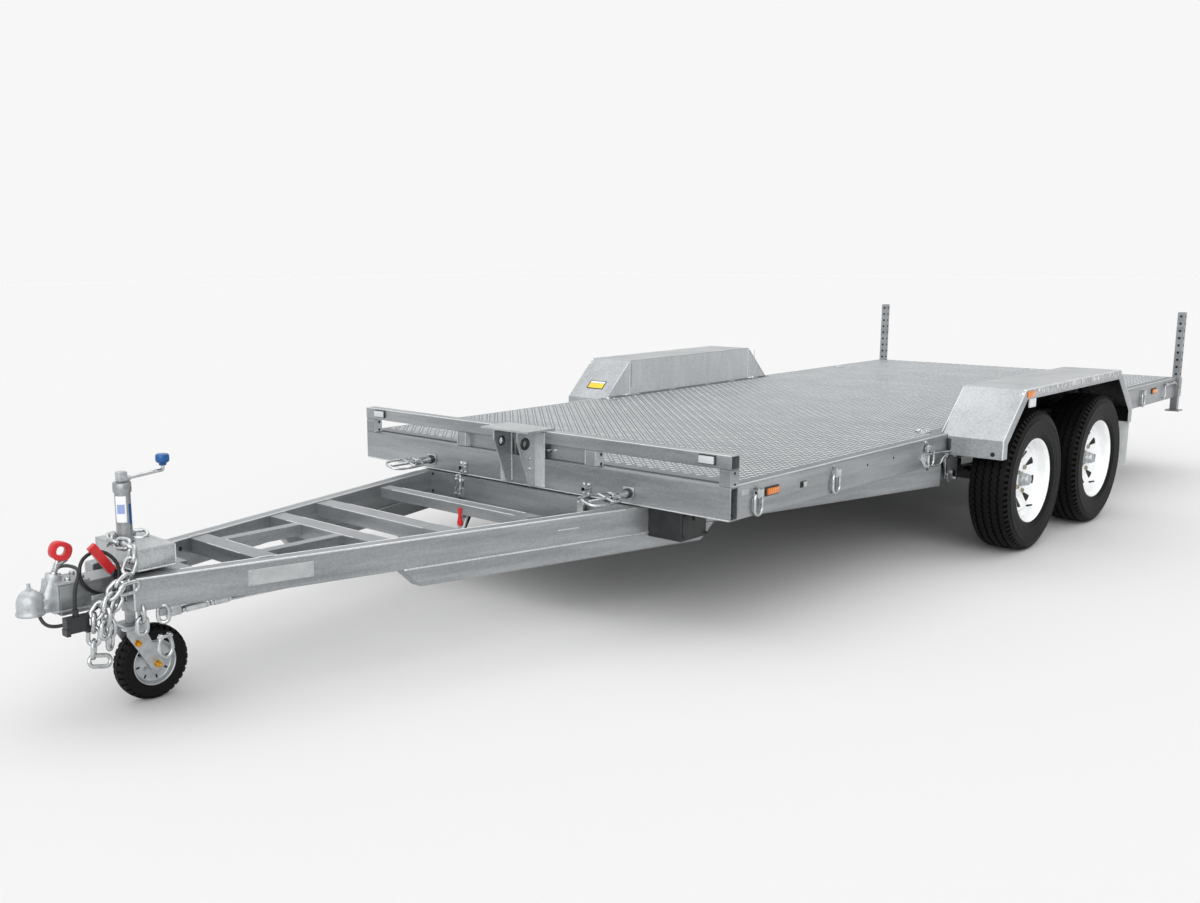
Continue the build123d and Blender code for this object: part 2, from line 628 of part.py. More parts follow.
BEAD_FIT = 0.3


def round_tyre(centre, tread_radius, width, rim, shoulder, crown_drop, wall):
    """Hollow tyre, open towards the rim. The rim is (seat radius, flange radius, half width, flange run)."""
    half = width / 2
    seat, flange, rim_half, flange_run = rim
    side = [(seat + BEAD_FIT, rim_half - flange_run - BEAD_FIT), (flange + BEAD_FIT, rim_half - BEAD_FIT),
            (flange + shoulder, half), (tread_radius - shoulder * 1.5, half),
            (tread_radius - crown_drop, half * 0.80), (tread_radius, half * 0.60)]
    lining = [(seat + BEAD_FIT, rim_half - flange_run - wall), (flange + shoulder, half - wall),
              (tread_radius - shoulder * 1.5, half - wall), (tread_radius - 1.4 * wall, half * 0.60)]
    opposite = [(radius, -along) for radius, along in side[::-1]]
    opposite_lining = [(radius, -along) for radius, along in lining]
    return turned(side + opposite + opposite_lining + lining[::-1], centre, (1, 0, 0), (0, 1, 0))


# ---- deck ----------------------------------------------------------------------------------------
def side_rail():
    """Rectangular tube along the deck's side, open at its rear end."""
    y0, y1 = HALF - RAIL_WIDTH, HALF
    top = DECK_TOP - FLOOR_PLATE
    rail = block(-DECK_LENGTH, -RAIL_WIDTH - WELD_GAP, y0, y1, DECK_UNDERSIDE, top)
    return rail - block(-DECK_LENGTH - OVERCUT, -RAIL_WIDTH - RAIL_WALL, y0 + RAIL_WALL, y1 - RAIL_WALL,
                        DECK_UNDERSIDE + RAIL_WALL, top - RAIL_WALL)


def front_beam():
    """Full-width tube across the deck's front, open at both ends."""
    beam = block(-RAIL_WIDTH, 0, -HALF, HALF, DECK_UNDERSIDE, HEADBOARD_BEAM_TOP)
    return beam - block(-RAIL_WIDTH + RAIL_WALL, -RAIL_WALL, -HALF - 1, HALF + 1,
                        DECK_UNDERSIDE + RAIL_WALL, HEADBOARD_BEAM_TOP - RAIL_WALL)


REAR_BEAM_DEPTH = 60.0


def rear_beam():
    """Channel across the deck's rear between the side rails."""
    y = HALF - RAIL_WIDTH - WELD_GAP
    x0, x1 = -DECK_LENGTH, -DECK_LENGTH + REAR_BEAM_DEPTH
    top = DECK_TOP - FLOOR_PLATE
    beam = block(x0, x1, -y, y, DECK_UNDERSIDE, top)
    low, high = DECK_UNDERSIDE + CHANNEL_WALL, top - CHANNEL_WALL
    return beam - block(x0 + CHANNEL_WALL, x1 + 1, -y - 1, y + 1, low, high)


JOIST_DEPTH = 60.0
JOIST_WIDTH = 40.0
JOIST_COUNT = 9


def joist(x):
    """Cross channel under the floor."""
    y = HALF - RAIL_WIDTH
    top = DECK_TOP - FLOOR_PLATE
    beam = block(x - JOIST_WIDTH / 2, x + JOIST_WIDTH / 2, -y, y, top - JOIST_DEPTH, top)
    return beam - block(x - JOIST_WIDTH / 2 - 1, x + JOIST_WIDTH / 2 - CHANNEL_WALL, -y - 1, y + 1,
                        top - JOIST_DEPTH + CHANNEL_WALL, top - CHANNEL_WALL)


POST_PLACES = (HALF - HEADBOARD_TUBE / 2, 360.0)
HEADBOARD_WALL = 4.0


def headboard_tube():
    """Open-ended square tube along the top of the headboard."""
    wall = HEADBOARD_WALL
    z0 = HEADBOARD_TOP - HEADBOARD_TUBE
    tube = block(-HEADBOARD_TUBE, 0, -HALF, HALF, z0, HEADBOARD_TOP)
    return tube - block(-HEADBOARD_TUBE + wall, -wall, -HALF - 1, HALF + 1, z0 + wall, HEADBOARD_TOP - wall)


def headboard_post(y):
    """Upright between the front beam and the top tube, with its side bolt holes."""
    half = HEADBOARD_TUBE / 2
    top = HEADBOARD_TOP - HEADBOARD_TUBE - WELD_GAP
    return block(-HEADBOARD_TUBE, 0, y - half, y + half, HEADBOARD_BEAM_TOP, top)


GUSSET_HALF = 65.0
GUSSET_PLATE = 8.0
GUSSET_HOLE = 20.0
WINCH_PLATE_HALF = 130.0
GUSSET_REACH = 100.0
GUSSET_NOSE = 40.0           # upright edge at the front, under the top plate
GUSSET_TOE = 30.0
HOLE_X = 58.0
HOLE_DROP = 50.0


def winch_bracket():
    """Two tapering gussets under a top plate, for a winch post."""
    toe_z = DECK_UNDERSIDE + 6
    hole_z = HEADBOARD_TOP - HOLE_DROP
    outline = [(0, HEADBOARD_TOP), (GUSSET_REACH, HEADBOARD_TOP), (GUSSET_REACH, HEADBOARD_TOP - GUSSET_NOSE),
               (GUSSET_TOE, toe_z), (0, toe_z)]
    width = WINCH_PLATE_HALF
    lid = HEADBOARD_TOP + GUSSET_PLATE
    pieces = block(-HEADBOARD_TUBE, GUSSET_REACH + 8, -width, width, HEADBOARD_TOP, lid)
    for s in (-1, 1):
        y = s * GUSSET_HALF
        plate = side_plate(outline, y - GUSSET_PLATE / 2, y + GUSSET_PLATE / 2)
        plate -= rod((HOLE_X, y - GUSSET_PLATE, hole_z), (HOLE_X, y + GUSSET_PLATE, hole_z), GUSSET_HOLE)
        pieces += plate
    return pieces


INFILL_X = -30.0
INFILL_PLATE = 6.0


def headboard_infill():
    """Plate that fills the headboard between the winch bracket and the left inner post."""
    y1 = POST_PLACES[1] - HEADBOARD_TUBE / 2 - WELD_GAP
    top = HEADBOARD_TOP - HEADBOARD_TUBE - WELD_GAP
    return block(INFILL_X, INFILL_X + INFILL_PLATE, -GUSSET_HALF, y1, HEADBOARD_BEAM_TOP, top)


LATCH_Y = 345.0
PIN_Y = 550.0
PIN_Z = 482.0
PIN_TUBE_RADIUS = 15.0
PIN_TUBE_LENGTH = 110.0
PIN_WIRE = 5.0
D_HANDLE_LENGTH = 120.0
D_HANDLE_WIDTH = 46.0


def latch_body():
    """Over-centre latch on the drawbar's crossbeam: back plate, lever and arm."""
    x = CROSSBEAM_FRONT
    plate = block(x, x + 6, LATCH_Y - 22, LATCH_Y + 22, BEAM_BOTTOM + 10, BEAM_TOP - 6)
    lever = block(x + 6, x + 24, LATCH_Y - 12, LATCH_Y + 12, BEAM_BOTTOM + 22, BEAM_TOP - 10)
    return plate + lever


def latch_keeper():
    """Hook plate on the deck's front beam above a latch."""
    plate = block(0, 6, LATCH_Y - 18, LATCH_Y + 18, DECK_UNDERSIDE + 4, DECK_UNDERSIDE + 58)
    return plate + block(6, 26, LATCH_Y - 8, LATCH_Y + 8, DECK_UNDERSIDE + 26, DECK_UNDERSIDE + 40)


def locking_pin():
    """Spring pin in a tube on the deck's front beam, with a flat D handle that points forward."""
    tube = rod((0, PIN_Y, PIN_Z), (PIN_TUBE_LENGTH, PIN_Y, PIN_Z), PIN_TUBE_RADIUS)
    stem_end = PIN_TUBE_LENGTH + 20
    stem = rod((PIN_TUBE_LENGTH, PIN_Y, PIN_Z), (stem_end, PIN_Y, PIN_Z), PIN_WIRE)
    middle = (stem_end + D_HANDLE_LENGTH / 2 - PIN_WIRE, PIN_Y, PIN_Z)
    seat = Plane(origin=middle, x_dir=(0, 1, 0), z_dir=(1, 0, 0))
    return tube + stem + seat * link(D_HANDLE_LENGTH, D_HANDLE_WIDTH, PIN_WIRE)


# ---- tie-down rings ------------------------------------------------------------------------------
RING_XS = (-160.0, -700.0, -1500.0, -3600.0, -4250.0)
RING_LENGTH = 92.0
RING_WIDTH = 58.0
RING_WIRE = 5.5
RING_TOP = 528.0
EYE_LENGTH = 40.0
EYE_HALF_HEIGHT = 14.0
EYE_WALL = 4.0


def tie_down(x):
    """Eye block on the side rail and the oval ring that hangs in it."""
    y = HALF + RING_WIRE + EYE_WALL
    z = RING_TOP - RING_WIRE
    end = EYE_LENGTH / 2
    eye = block(x - end, x + end, HALF, y + RING_WIRE + EYE_WALL, z - EYE_HALF_HEIGHT, z + EYE_HALF_HEIGHT)
    seat = Pos(x, y, RING_TOP - RING_LENGTH / 2)
    size = (RING_LENGTH, RING_WIDTH, RING_WIRE)
    return eye - seat * slack_link(*size), seat * link(*size)


# ---- fenders, lamps, flaps -----------------------------------------------------------------------
def fender_line(inset):
    """Fender outline in X and Z, offset inwards by the inset, from the front foot to the rear foot."""
    slope = math.atan2(FENDER_TOP - FENDER_SHOULDER, FENDER_HALF_LENGTH - FENDER_FLAT_HALF)
    flat = FENDER_FLAT_HALF - inset * math.tan(slope / 2)
    end = FENDER_HALF_LENGTH - inset
    shoulder = FENDER_SHOULDER - inset * math.tan((math.pi / 2 - slope) / 2)
    top = FENDER_TOP - inset
    return [(FENDER_X + end, FENDER_FOOT), (FENDER_X + end, shoulder), (FENDER_X + flat, top),
            (FENDER_X - flat, top), (FENDER_X - end, shoulder), (FENDER_X - end, FENDER_FOOT)]


def fender():
    """Folded sheet over both left wheels: inner wall on the deck, flat top, sloped ends, outer skirt."""
    outer = OVERALL_WIDTH / 2
    shell = side_plate(fender_line(0), FENDER_INNER_HALF, outer)
    shell -= side_plate(fender_line(FENDER_SHEET), FENDER_INNER_HALF + FENDER_SHEET, outer + 1)
    skirt = side_plate(fender_line(0), outer - FENDER_SHEET, outer)
    skirt -= side_plate(fender_line(FENDER_SKIRT), outer - FENDER_SHEET - 1, outer + 1)
    shell += skirt
    reach = DECK_LENGTH / 2
    under_floor = block(FENDER_X - reach, FENDER_X + reach, 0, HALF + 1.0, 0, DECK_TOP - FLOOR_PLATE)
    inside = FENDER_HALF_LENGTH - FENDER_SHEET
    hollow_foot = block(FENDER_X - inside, FENDER_X + inside, HALF, outer - FENDER_SHEET, 0, FENDER_FOOT + 1)
    return shell - under_floor - hollow_foot


FLAP_THICKNESS = 6.0
FLAP_BOTTOM = 245.0
FLAP_INNER = HALF + 55.0
FLAP_OUTER = OVERALL_WIDTH / 2 - 8.0


def mudflap():
    """Flap that hangs on the rear foot of a fender."""
    x = FENDER_X - FENDER_HALF_LENGTH
    return block(x - FLAP_THICKNESS, x, FLAP_INNER, FLAP_OUTER, FLAP_BOTTOM, FENDER_FOOT + 60)


# ---- running gear --------------------------------------------------------------------------------
AXLE_BEAM = 50.0
SPRING_Y = HALF - RAIL_WIDTH / 2
SPRING_WIDTH = 50.0
SPRING_LEAF = 8.0
SPRING_LEAVES = 4
LEAF_STEP = 55.0             # each leaf's end short of the next
SPRING_EYE_Z = DECK_UNDERSIDE - 38.0
SPRING_HALF = 300.0
HANGER_WIDTH = 46.0
ROCKER_WIDTH = 270.0
EYE_RADIUS = 18.0
SHACKLE_BOLT_RADIUS = 9.0
BOLT_END = 8.0
DRUM_RADIUS = 130.0
BACKPLATE_Y = HALF + 22.0
STUB_RADIUS = 19.0
STUB_END = 20.0              # stub tip past the wheel's middle


def axle(x):
    """Square axle tube with round stub ends and brake back plates."""
    z = TYRE_RADIUS
    half = AXLE_BEAM / 2
    beam = block(x - half, x + half, -BACKPLATE_Y, BACKPLATE_Y, z - half, z + half)
    for s in (-1, 1):
        beam += rod((x, s * BACKPLATE_Y, z), (x, s * (WHEEL_Y + STUB_END), z), STUB_RADIUS)
        beam += rod((x, s * BACKPLATE_Y, z), (x, s * (BACKPLATE_Y + 6), z), DRUM_RADIUS)
    return beam


def leaf_spring(x):
    """Leaf pack over an axle: bowed leaves, shorter towards the axle, with an eye at each end."""
    y0, y1 = SPRING_Y - SPRING_WIDTH / 2, SPRING_Y + SPRING_WIDTH / 2
    seat = TYRE_RADIUS + AXLE_BEAM / 2
    sag = SPRING_EYE_Z - seat - SPRING_LEAF * (SPRING_LEAVES - 0.5)
    main_radius = (SPRING_HALF ** 2 + sag ** 2) / (2 * sag)
    bow_z = SPRING_EYE_Z - sag + main_radius
    pack = None
    for index in range(SPRING_LEAVES):
        low = bow_z - seat - SPRING_LEAF * index
        high = low - SPRING_LEAF
        reach = math.asin((SPRING_HALF - LEAF_STEP * (SPRING_LEAVES - 1 - index)) / low)
        across, up = math.sin(reach), math.cos(reach)
        ends = [(x + s * r * across, bow_z - r * up) for s in (-1, 1) for r in (low, high)]
        outline = ThreePointArc(ends[0], (x, bow_z - low), ends[2]) + Line(ends[2], ends[3])
        outline += ThreePointArc(ends[3], (x, bow_z - high), ends[1]) + Line(ends[1], ends[0])
        leaf = Pos(0, y0, 0) * extrude(Plane.XZ * make_face(outline), amount=SPRING_WIDTH, dir=(0, 1, 0))
        pack = leaf if pack is None else pack + leaf
    for s in (-1, 1):
        eye_x = x + s * SPRING_HALF
        pack += rod((eye_x, y0, SPRING_EYE_Z), (eye_x, y1, SPRING_EYE_Z), EYE_RADIUS)
        bore = ((eye_x, y, SPRING_EYE_Z) for y in (y0 - OVERCUT, y1 + OVERCUT))
        pack -= rod(*bore, SHACKLE_BOLT_RADIUS + ROD_PLAY)
    return pack


def spring_hanger(x, width):
    """Pair of plates under the side rail either side of a spring's eye, with the bolt between them."""
    y0, y1 = SPRING_Y - SPRING_WIDTH / 2 - 1, SPRING_Y + SPRING_WIDTH / 2 + 1
    plate = 6.0
    outline = [(x - width / 2, DECK_UNDERSIDE), (x - width / 2 + 10, SPRING_EYE_Z - 22),
               (x + width / 2 - 10, SPRING_EYE_Z - 22), (x + width / 2, DECK_UNDERSIDE)]
    pieces = side_plate(outline, y0 - plate, y0) + side_plate(outline, y1, y1 + plate)
    pieces += block(x - width / 2, x + width / 2, y0 - plate, y1 + plate, DECK_UNDERSIDE - 6, DECK_UNDERSIDE)
    reach = AXLE_SPACING / 2 - SPRING_HALF
    end0, end1 = y0 - plate - BOLT_END, y1 + plate + BOLT_END
    for bolt_x in ((x,) if width < ROCKER_WIDTH else (x - reach, x + reach)):
        pieces += rod((bolt_x, end0, SPRING_EYE_Z), (bolt_x, end1, SPRING_EYE_Z), SHACKLE_BOLT_RADIUS)
    return pieces


# ---- road wheels ---------------------------------------------------------------------------------
RIM_WALL = 5.0
HUB_RADIUS = 33.0
SPOKES = 8
WELL_RADIUS = 158.0
FLANGE_HEIGHT = 17.0
FLANGE_RUN = 8.0
ROAD_RIM = (RIM_FLANGE_RADIUS - FLANGE_HEIGHT, RIM_FLANGE_RADIUS, RIM_WIDTH / 2, FLANGE_RUN)


def wheel_rim(x, side):
    """Steel rim and dished eight-spoke centre. The dish faces outwards."""
    half = RIM_WIDTH / 2
    wall = RIM_WALL
    seat = RIM_FLANGE_RADIUS - FLANGE_HEIGHT
    barrel = [(RIM_FLANGE_RADIUS, -half), (seat, -half + 8), (seat, -half + 38), (WELL_RADIUS, -half + 48),
              (WELL_RADIUS, half - 60), (seat, half - 38), (seat, half - 8), (RIM_FLANGE_RADIUS, half),
              (RIM_FLANGE_RADIUS - wall, half), (seat - wall, half - 8 - wall), (seat - wall, half - 36),
              (WELL_RADIUS - wall, half - 58), (WELL_RADIUS - wall, -half + 46), (seat - wall, -half + 36),
              (seat - wall, -half + 8 + wall), (RIM_FLANGE_RADIUS - wall, -half)]
    disc = [(HUB_RADIUS + 0.3, 0), (78, 0), (104, 16), (140, 6), (WELL_RADIUS - wall + 0.5, 0),
            (WELL_RADIUS - wall + 0.5, 8), (142, 13), (104, 23), (78, 7), (HUB_RADIUS + 0.3, 7)]
    centre = (x, side * WHEEL_Y, TYRE_RADIUS)
    outward = (0, side, 0)
    rim = turned(barrel, centre, (1, 0, 0), outward) + turned(disc, centre, (1, 0, 0), outward)
    seat_plane = Plane(origin=centre, x_dir=(1, 0, 0), z_dir=outward)
    hole = Polygon((100, -9), (143, -27), (143, 27), (100, 9), align=None)
    for index in range(SPOKES):
        turn = Rot(0, 0, 360 / SPOKES * index)
        rim -= seat_plane * Pos(0, 0, -10) * extrude(turn * hole, amount=60)
    return rim


def hub(x, side):
    """Brake drum, hub and dust cap, turned about the stub axle."""
    base = BACKPLATE_Y + 6 + 4 - WHEEL_Y
    bore = STUB_RADIUS + PIN_CLEARANCE
    end = STUB_END + 3
    profile = [(bore, base), (DRUM_RADIUS, base), (DRUM_RADIUS, -18), (74, -12), (74, -0.3),
               (HUB_RADIUS, -0.3), (HUB_RADIUS, 34), (HUB_RADIUS - 3, 58), (HUB_RADIUS - 12, 66),
               (0, 68), (0, end), (bore, end)]
    return turned(profile, (x, side * WHEEL_Y, TYRE_RADIUS), (1, 0, 0), (0, side, 0))


# ---- rear legs -----------------------------------------------------------------------------------
LEG_HOLE_RADIUS = 7.0
LEG_HOLES = 12
LEG_HOLE_PITCH = 45.0
LEG_FOOT_PLATE = 8.0


def rear_leg():
    """Square drop leg with a row of holes and a foot plate."""
    half = LEG_TUBE / 2
    inside = half - LEG_WALL
    base = LEG_FOOT_Z + LEG_FOOT_PLATE
    leg = block(LEG_X - half, LEG_X + half, LEG_Y - half, LEG_Y + half, base, LEG_TOP)
    leg -= block(LEG_X - inside, LEG_X + inside, LEG_Y - inside, LEG_Y + inside, base, LEG_TOP + 1)
    for index in range(LEG_HOLES):
        z = LEG_TOP - 25 - LEG_HOLE_PITCH * index
        leg -= rod((LEG_X, LEG_Y - LEG_TUBE, z), (LEG_X, LEG_Y + LEG_TUBE, z), LEG_HOLE_RADIUS)
    half = LEG_FOOT / 2
    return leg + block(LEG_X - half, LEG_X + half, LEG_Y - half, LEG_Y + half, LEG_FOOT_Z, base)


def leg_socket():
    """Square sleeve on the rear end of a side rail that the leg slides in."""
    half = LEG_TUBE / 2 + LEG_PLAY
    outside = half + SOCKET_WALL
    z0, z1 = DECK_UNDERSIDE + 5, DECK_TOP - FLOOR_PLATE
    sleeve = block(LEG_X - outside, LEG_X + outside, LEG_Y - outside, LEG_Y + outside, z0, z1)
    return sleeve - block(LEG_X - half, LEG_X + half, LEG_Y - half, LEG_Y + half, z0 - 1, z1 + 1)


# ---- cord ----------------------------------------------------------------------------------------
CORD_ROUTE = [
    (1812, 64, 370), (1872, 63, 384), (1922, 62, 440), (1900, 40, 500), (1836, 43, 516), (1796, 74, 468),
    (1812, 82, 402), (1868, 88, 362), (1930, 76, 330), (1986, 50, 310), (2000, -20, 304), (1990, -82, 338),
    (1958, -98, 402), (1920, -86, 452), (1905, -38, 465), (1905, 44, 465), (1962, 114, 430), (1962, 114, 372),
]


def cord_arcs(points):
    """Radius of each bend: 0.45 of the shorter run beside it, divided by the tangent of half the turn."""
    radii = []
    for before, at, after in zip(points, points[1:], points[2:]):
        first = Vector(*at) - Vector(*before)
        second = Vector(*after) - Vector(*at)
        turn = math.radians(first.get_angle(second))
        radii.append(0.45 * min(first.length, second.length) / math.tan(turn / 2))
    return radii


PLUG_NECK = 9.0


def lead_gland():
    """Grommet on the tongue's side that the lead comes out of."""
    exit_point = Vector(*CORD_ROUTE[0])
    along = (Vector(*CORD_ROUTE[1]) - exit_point).normalized()
    body = rod(exit_point - along * 22, exit_point, 8.5)
    x, y, z = CORD_ROUTE[0]
    return body + block(x - 22, x - 4, TONGUE_HALF, y, z - 12, z + 4)


def plug():
    """Flat seven-pin plug hanging on the lead, with its neck, hinge ears and contact slots."""
    x, y, z = CORD_ROUTE[-1]
    neck = rod((x, y, z), (x, y, z - 22), PLUG_NECK)
    body = block(x - 34, x + 34, y - 14, y + 14, z - 66, z - 20)
    for x0 in (x - 36, x + 24):
        body += block(x0, x0 + 12, y - 16, y + 16, z - 72, z - 52)
    return neck + body


def plug_lead():
    """Seven-core lead from the tongue's gland to the plug."""
    radii = cord_arcs(CORD_ROUTE)
    path = FilletPolyline(*CORD_ROUTE, radius=radii)
    start = Vector(*CORD_ROUTE[1]) - Vector(*CORD_ROUTE[0])
    tube = sweep(Plane(origin=CORD_ROUTE[0], z_dir=start) * Circle(CORD_DIAMETER / 2), path=path)
    whole = math.pi * (CORD_DIAMETER / 2) ** 2 * path.length
    print("lead length", round(path.length), "radii", [round(r) for r in radii])
    print("lead volume ratio", round(tube.volume / whole, 4))
    return tube


def both(piece):
    """A left-hand piece and its right-hand twin."""
    return piece, mirrored(piece)


def deck_floor():
    """Floor plate, cut back on each side to the fender's inner wall."""
    floor = block(-DECK_LENGTH, -RAIL_WIDTH - WELD_GAP, -HALF, HALF, DECK_TOP - FLOOR_PLATE, DECK_TOP)
    rear, front = FENDER_X - FENDER_HALF_LENGTH, FENDER_X + FENDER_HALF_LENGTH
    notch = block(rear - WELD_GAP, front + WELD_GAP, FENDER_INNER_HALF - WELD_GAP, HALF + 1, 0, DECK_TOP + 1)
    return floor - notch - mirrored(notch)


def build():
    node("a_frame_beams", *both(a_frame_beam() + hinge_lug()))
    node("lower_rails", *both(lower_rail()))
    beams = [crossbeam(x) for x in (CROSSBEAM_FRONT, *HIDDEN_CROSSBEAMS)]
    node("cross_members", *[ladder_member(*row) for row in LADDER], *both(inner_rail()), *beams)
    node("tongue", tongue())
    lower_plate = nose_plate(BEAM_BOTTOM, TONGUE_BOTTOM, LOWER_NOSE_PLATE_REAR_X)
    node("nose_plates", lower_plate, nose_plate(TONGUE_TOP, BEAM_TOP, UPPER_NOSE_PLATE_REAR_X))
    node("hinge_pins", *both(hinge_pin()))
    node("coupling", coupling())
    node("coupling_handle", coupling_handle())
    lever, grip = handbrake_lever()
    node("handbrake_lever", lever)
    node("handbrake_grip", grip)
    node("jockey_outer_tube", jockey_outer_tube())
    node("jockey_crank", jockey_crank())
    node("crank_knob", crank_knob())
    node("toggle_latches", *both(latch_body()))
    node("plug_lead", plug_lead())
    node("lead_gland", lead_gland())
    node("plug", plug())
    node("safety_chains", *[piece for row in STRANDS for piece in strand(*row)], *chain_lugs())
    node("brake_rod", brake_rod())
    node("battery_box", battery_box())
    lamps = (*side_markers(), front_marker())
    node("marker_lamps", *[side for lamp in lamps for side in both(lamp)])
    node("tail_lamps", *both(tail_lamp()))
    node("jockey_stem", jockey_stem())
    node("jockey_fork", jockey_fork())
    node("jockey_axle", jockey_axle())
    node("jockey_rim", jockey_rim())
    centre = (JOCKEY_X - JOCKEY_TRAIL, 0, JOCKEY_WHEEL_RADIUS)
    jockey_seat = (JOCKEY_RIM_RADIUS, JOCKEY_RIM_RADIUS + 4, JOCKEY_RIM_HALF, 0)
    node("jockey_tyre", round_tyre(centre, JOCKEY_WHEEL_RADIUS, JOCKEY_WHEEL_WIDTH, jockey_seat, 6, 6, 8))
    node("deck_rails", *both(side_rail()), front_beam(), rear_beam())
    step = (DECK_LENGTH - RAIL_WIDTH - REAR_BEAM_DEPTH) / (JOIST_COUNT + 1)
    node("floor_joists", *[joist(-RAIL_WIDTH - step * (i + 1)) for i in range(JOIST_COUNT)])
    node("deck_floor", deck_floor())
    posts = [headboard_post(s * y) for y in POST_PLACES for s in (-1, 1)]
    node("headboard", headboard_tube(), *posts, headboard_infill())
    node("winch_bracket", winch_bracket())
    node("latch_keepers", *both(latch_keeper()))
    node("locking_pins", *both(locking_pin()))
    rings = [tie_down(x) for x in RING_XS]
    node("tie_downs", *[side for pair in rings for piece in pair for side in both(piece)])
    node("hinge_plates", *[side for plate in hinge_plates() for side in both(plate)])
    node("fender_left", fender())
    node("fender_right", mirrored(fender()))
    node("mudflaps", *both(mudflap()))
    node("axles", *[axle(x) for x in AXLE_XS])
    node("leaf_springs", *[side for x in AXLE_XS for side in both(leaf_spring(x))])
    hangers = [spring_hanger(AXLE_XS[0] + SPRING_HALF, HANGER_WIDTH), spring_hanger(AXLE_MID_X, ROCKER_WIDTH),
               spring_hanger(AXLE_XS[1] - SPRING_HALF, HANGER_WIDTH)]
    node("spring_hangers", *[side for piece in hangers for side in both(piece)])
    node("leg_sockets", *both(leg_socket()))
    for side, s in SIDES.items():
        for place, x in zip(("front", "rear"), AXLE_XS):
            name = f"{place}_{side}"
            node(f"rim_{name}", wheel_rim(x, s))
            node(f"hub_{name}", hub(x, s))
            centre = (x, s * WHEEL_Y, TYRE_RADIUS)
            node(f"tyre_{name}", round_tyre(centre, TYRE_RADIUS, TYRE_WIDTH, ROAD_RIM, 26, 8, 12))
        leg = rear_leg()
        node(f"rear_leg_{side}", leg if s > 0 else mirrored(leg))


build()
os.makedirs("parts", exist_ok=True)
for name, solids in PARTS.items():
    shape = solids[0] if len(solids) == 1 else Compound(children=[s for s in solids])
    export_step(Pos(-ORIGIN_X, 0, 0) * shape, f"parts/{name}.step")
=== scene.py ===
"""Tilt-bed car trailer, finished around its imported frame. World metres, +X to the nose, +Y to the left, +Z up.

Places and sizes in the tables are millimetres, x counted from the deck's front face, unless they say metres.
"""
import math
import random
import bmesh
import bpy
from mathutils import Matrix, Vector


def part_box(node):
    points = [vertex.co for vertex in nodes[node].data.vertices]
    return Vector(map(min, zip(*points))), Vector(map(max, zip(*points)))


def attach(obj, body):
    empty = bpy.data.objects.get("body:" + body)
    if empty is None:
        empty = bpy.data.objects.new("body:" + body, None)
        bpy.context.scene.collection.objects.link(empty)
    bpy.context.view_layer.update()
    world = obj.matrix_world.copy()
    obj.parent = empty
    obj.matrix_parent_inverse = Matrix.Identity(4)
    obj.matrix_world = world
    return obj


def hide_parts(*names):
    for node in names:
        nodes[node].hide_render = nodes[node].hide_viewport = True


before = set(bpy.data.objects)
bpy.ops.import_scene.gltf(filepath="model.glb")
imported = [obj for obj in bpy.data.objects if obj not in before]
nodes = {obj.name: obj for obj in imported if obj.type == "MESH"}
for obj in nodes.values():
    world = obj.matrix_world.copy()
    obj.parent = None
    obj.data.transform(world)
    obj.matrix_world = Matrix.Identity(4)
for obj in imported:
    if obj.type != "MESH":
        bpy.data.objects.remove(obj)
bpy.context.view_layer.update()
scene = bpy.context.scene
DECK_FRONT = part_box("deck_rails")[1].x
ORIGIN = Vector((0, 0, 0))
AHEAD, BACK, OUT, UP, DOWN = (1, 0, 0), (-1, 0, 0), (0, 1, 0), (0, 0, 1), (0, 0, -1)
random.seed(7)


def mm(x, y, z):
    """A place in the world, from the tables' millimetres."""
    return Vector((DECK_FRONT + x / 1000, y / 1000, z / 1000))


def spot(place):
    """The same for a tuple; a world Vector stays as it is."""
    return place.copy() if isinstance(place, Vector) else mm(*place)


# ---- camera -------------------------------------------------------------------------------------
def aim_camera(place, yaw, pitch, roll, lens, shift):
    """Camera looking along a yaw and a downward pitch, in degrees, turned by the roll about its own line."""
    yaw, pitch, roll = (math.radians(angle) for angle in (yaw, pitch, roll))
    ahead = Vector((math.cos(yaw) * math.cos(pitch), math.sin(yaw) * math.cos(pitch), -math.sin(pitch)))
    level = Vector((math.sin(yaw), -math.cos(yaw), 0))
    down = ahead.cross(level)
    right = math.cos(roll) * level + math.sin(roll) * down
    down = math.cos(roll) * down - math.sin(roll) * level
    data = bpy.data.cameras.new("camera")
    data.sensor_width = 36
    data.lens = lens
    data.shift_x, data.shift_y = shift
    camera = bpy.data.objects.new("camera", data)
    scene.collection.objects.link(camera)
    turn = Matrix((right, -down, -ahead)).transposed().to_4x4()
    camera.matrix_world = Matrix.Translation(place) @ turn
    scene.camera = camera


aim_camera(place=(4.8575, 3.3134, 1.3679), yaw=225.0928, pitch=10.1449, roll=0.4261, lens=35.91,
           shift=(0.0825, 0.0128))


# ---- mesh tools ---------------------------------------------------------------------------------
def make(name, bm, finish, body, smooth=None, replaced=()):
    """Turns a bmesh into a piece that rides on a body. smooth is the angle, in degrees, that stays sharp."""
    mesh = bpy.data.meshes.new(name)
    bm.to_mesh(mesh)
    bm.free()
    mesh.materials.append(finish)
    if smooth is not None:
        mesh.shade_smooth()
        mesh.set_sharp_from_angle(angle=math.radians(smooth))
    piece = bpy.data.objects.new(name, mesh)
    scene.collection.objects.link(piece)
    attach(piece, body)
    if replaced:
        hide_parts(*replaced)
    return piece


def build(name, finish, body, rows, smooth=None, replaced=()):
    """Makes a piece from rows of (tool, its arguments after the bmesh)."""
    bm = bmesh.new()
    for tool, *values in rows:
        tool(bm, *values)
    return make(name, bm, finish, body, smooth, replaced)


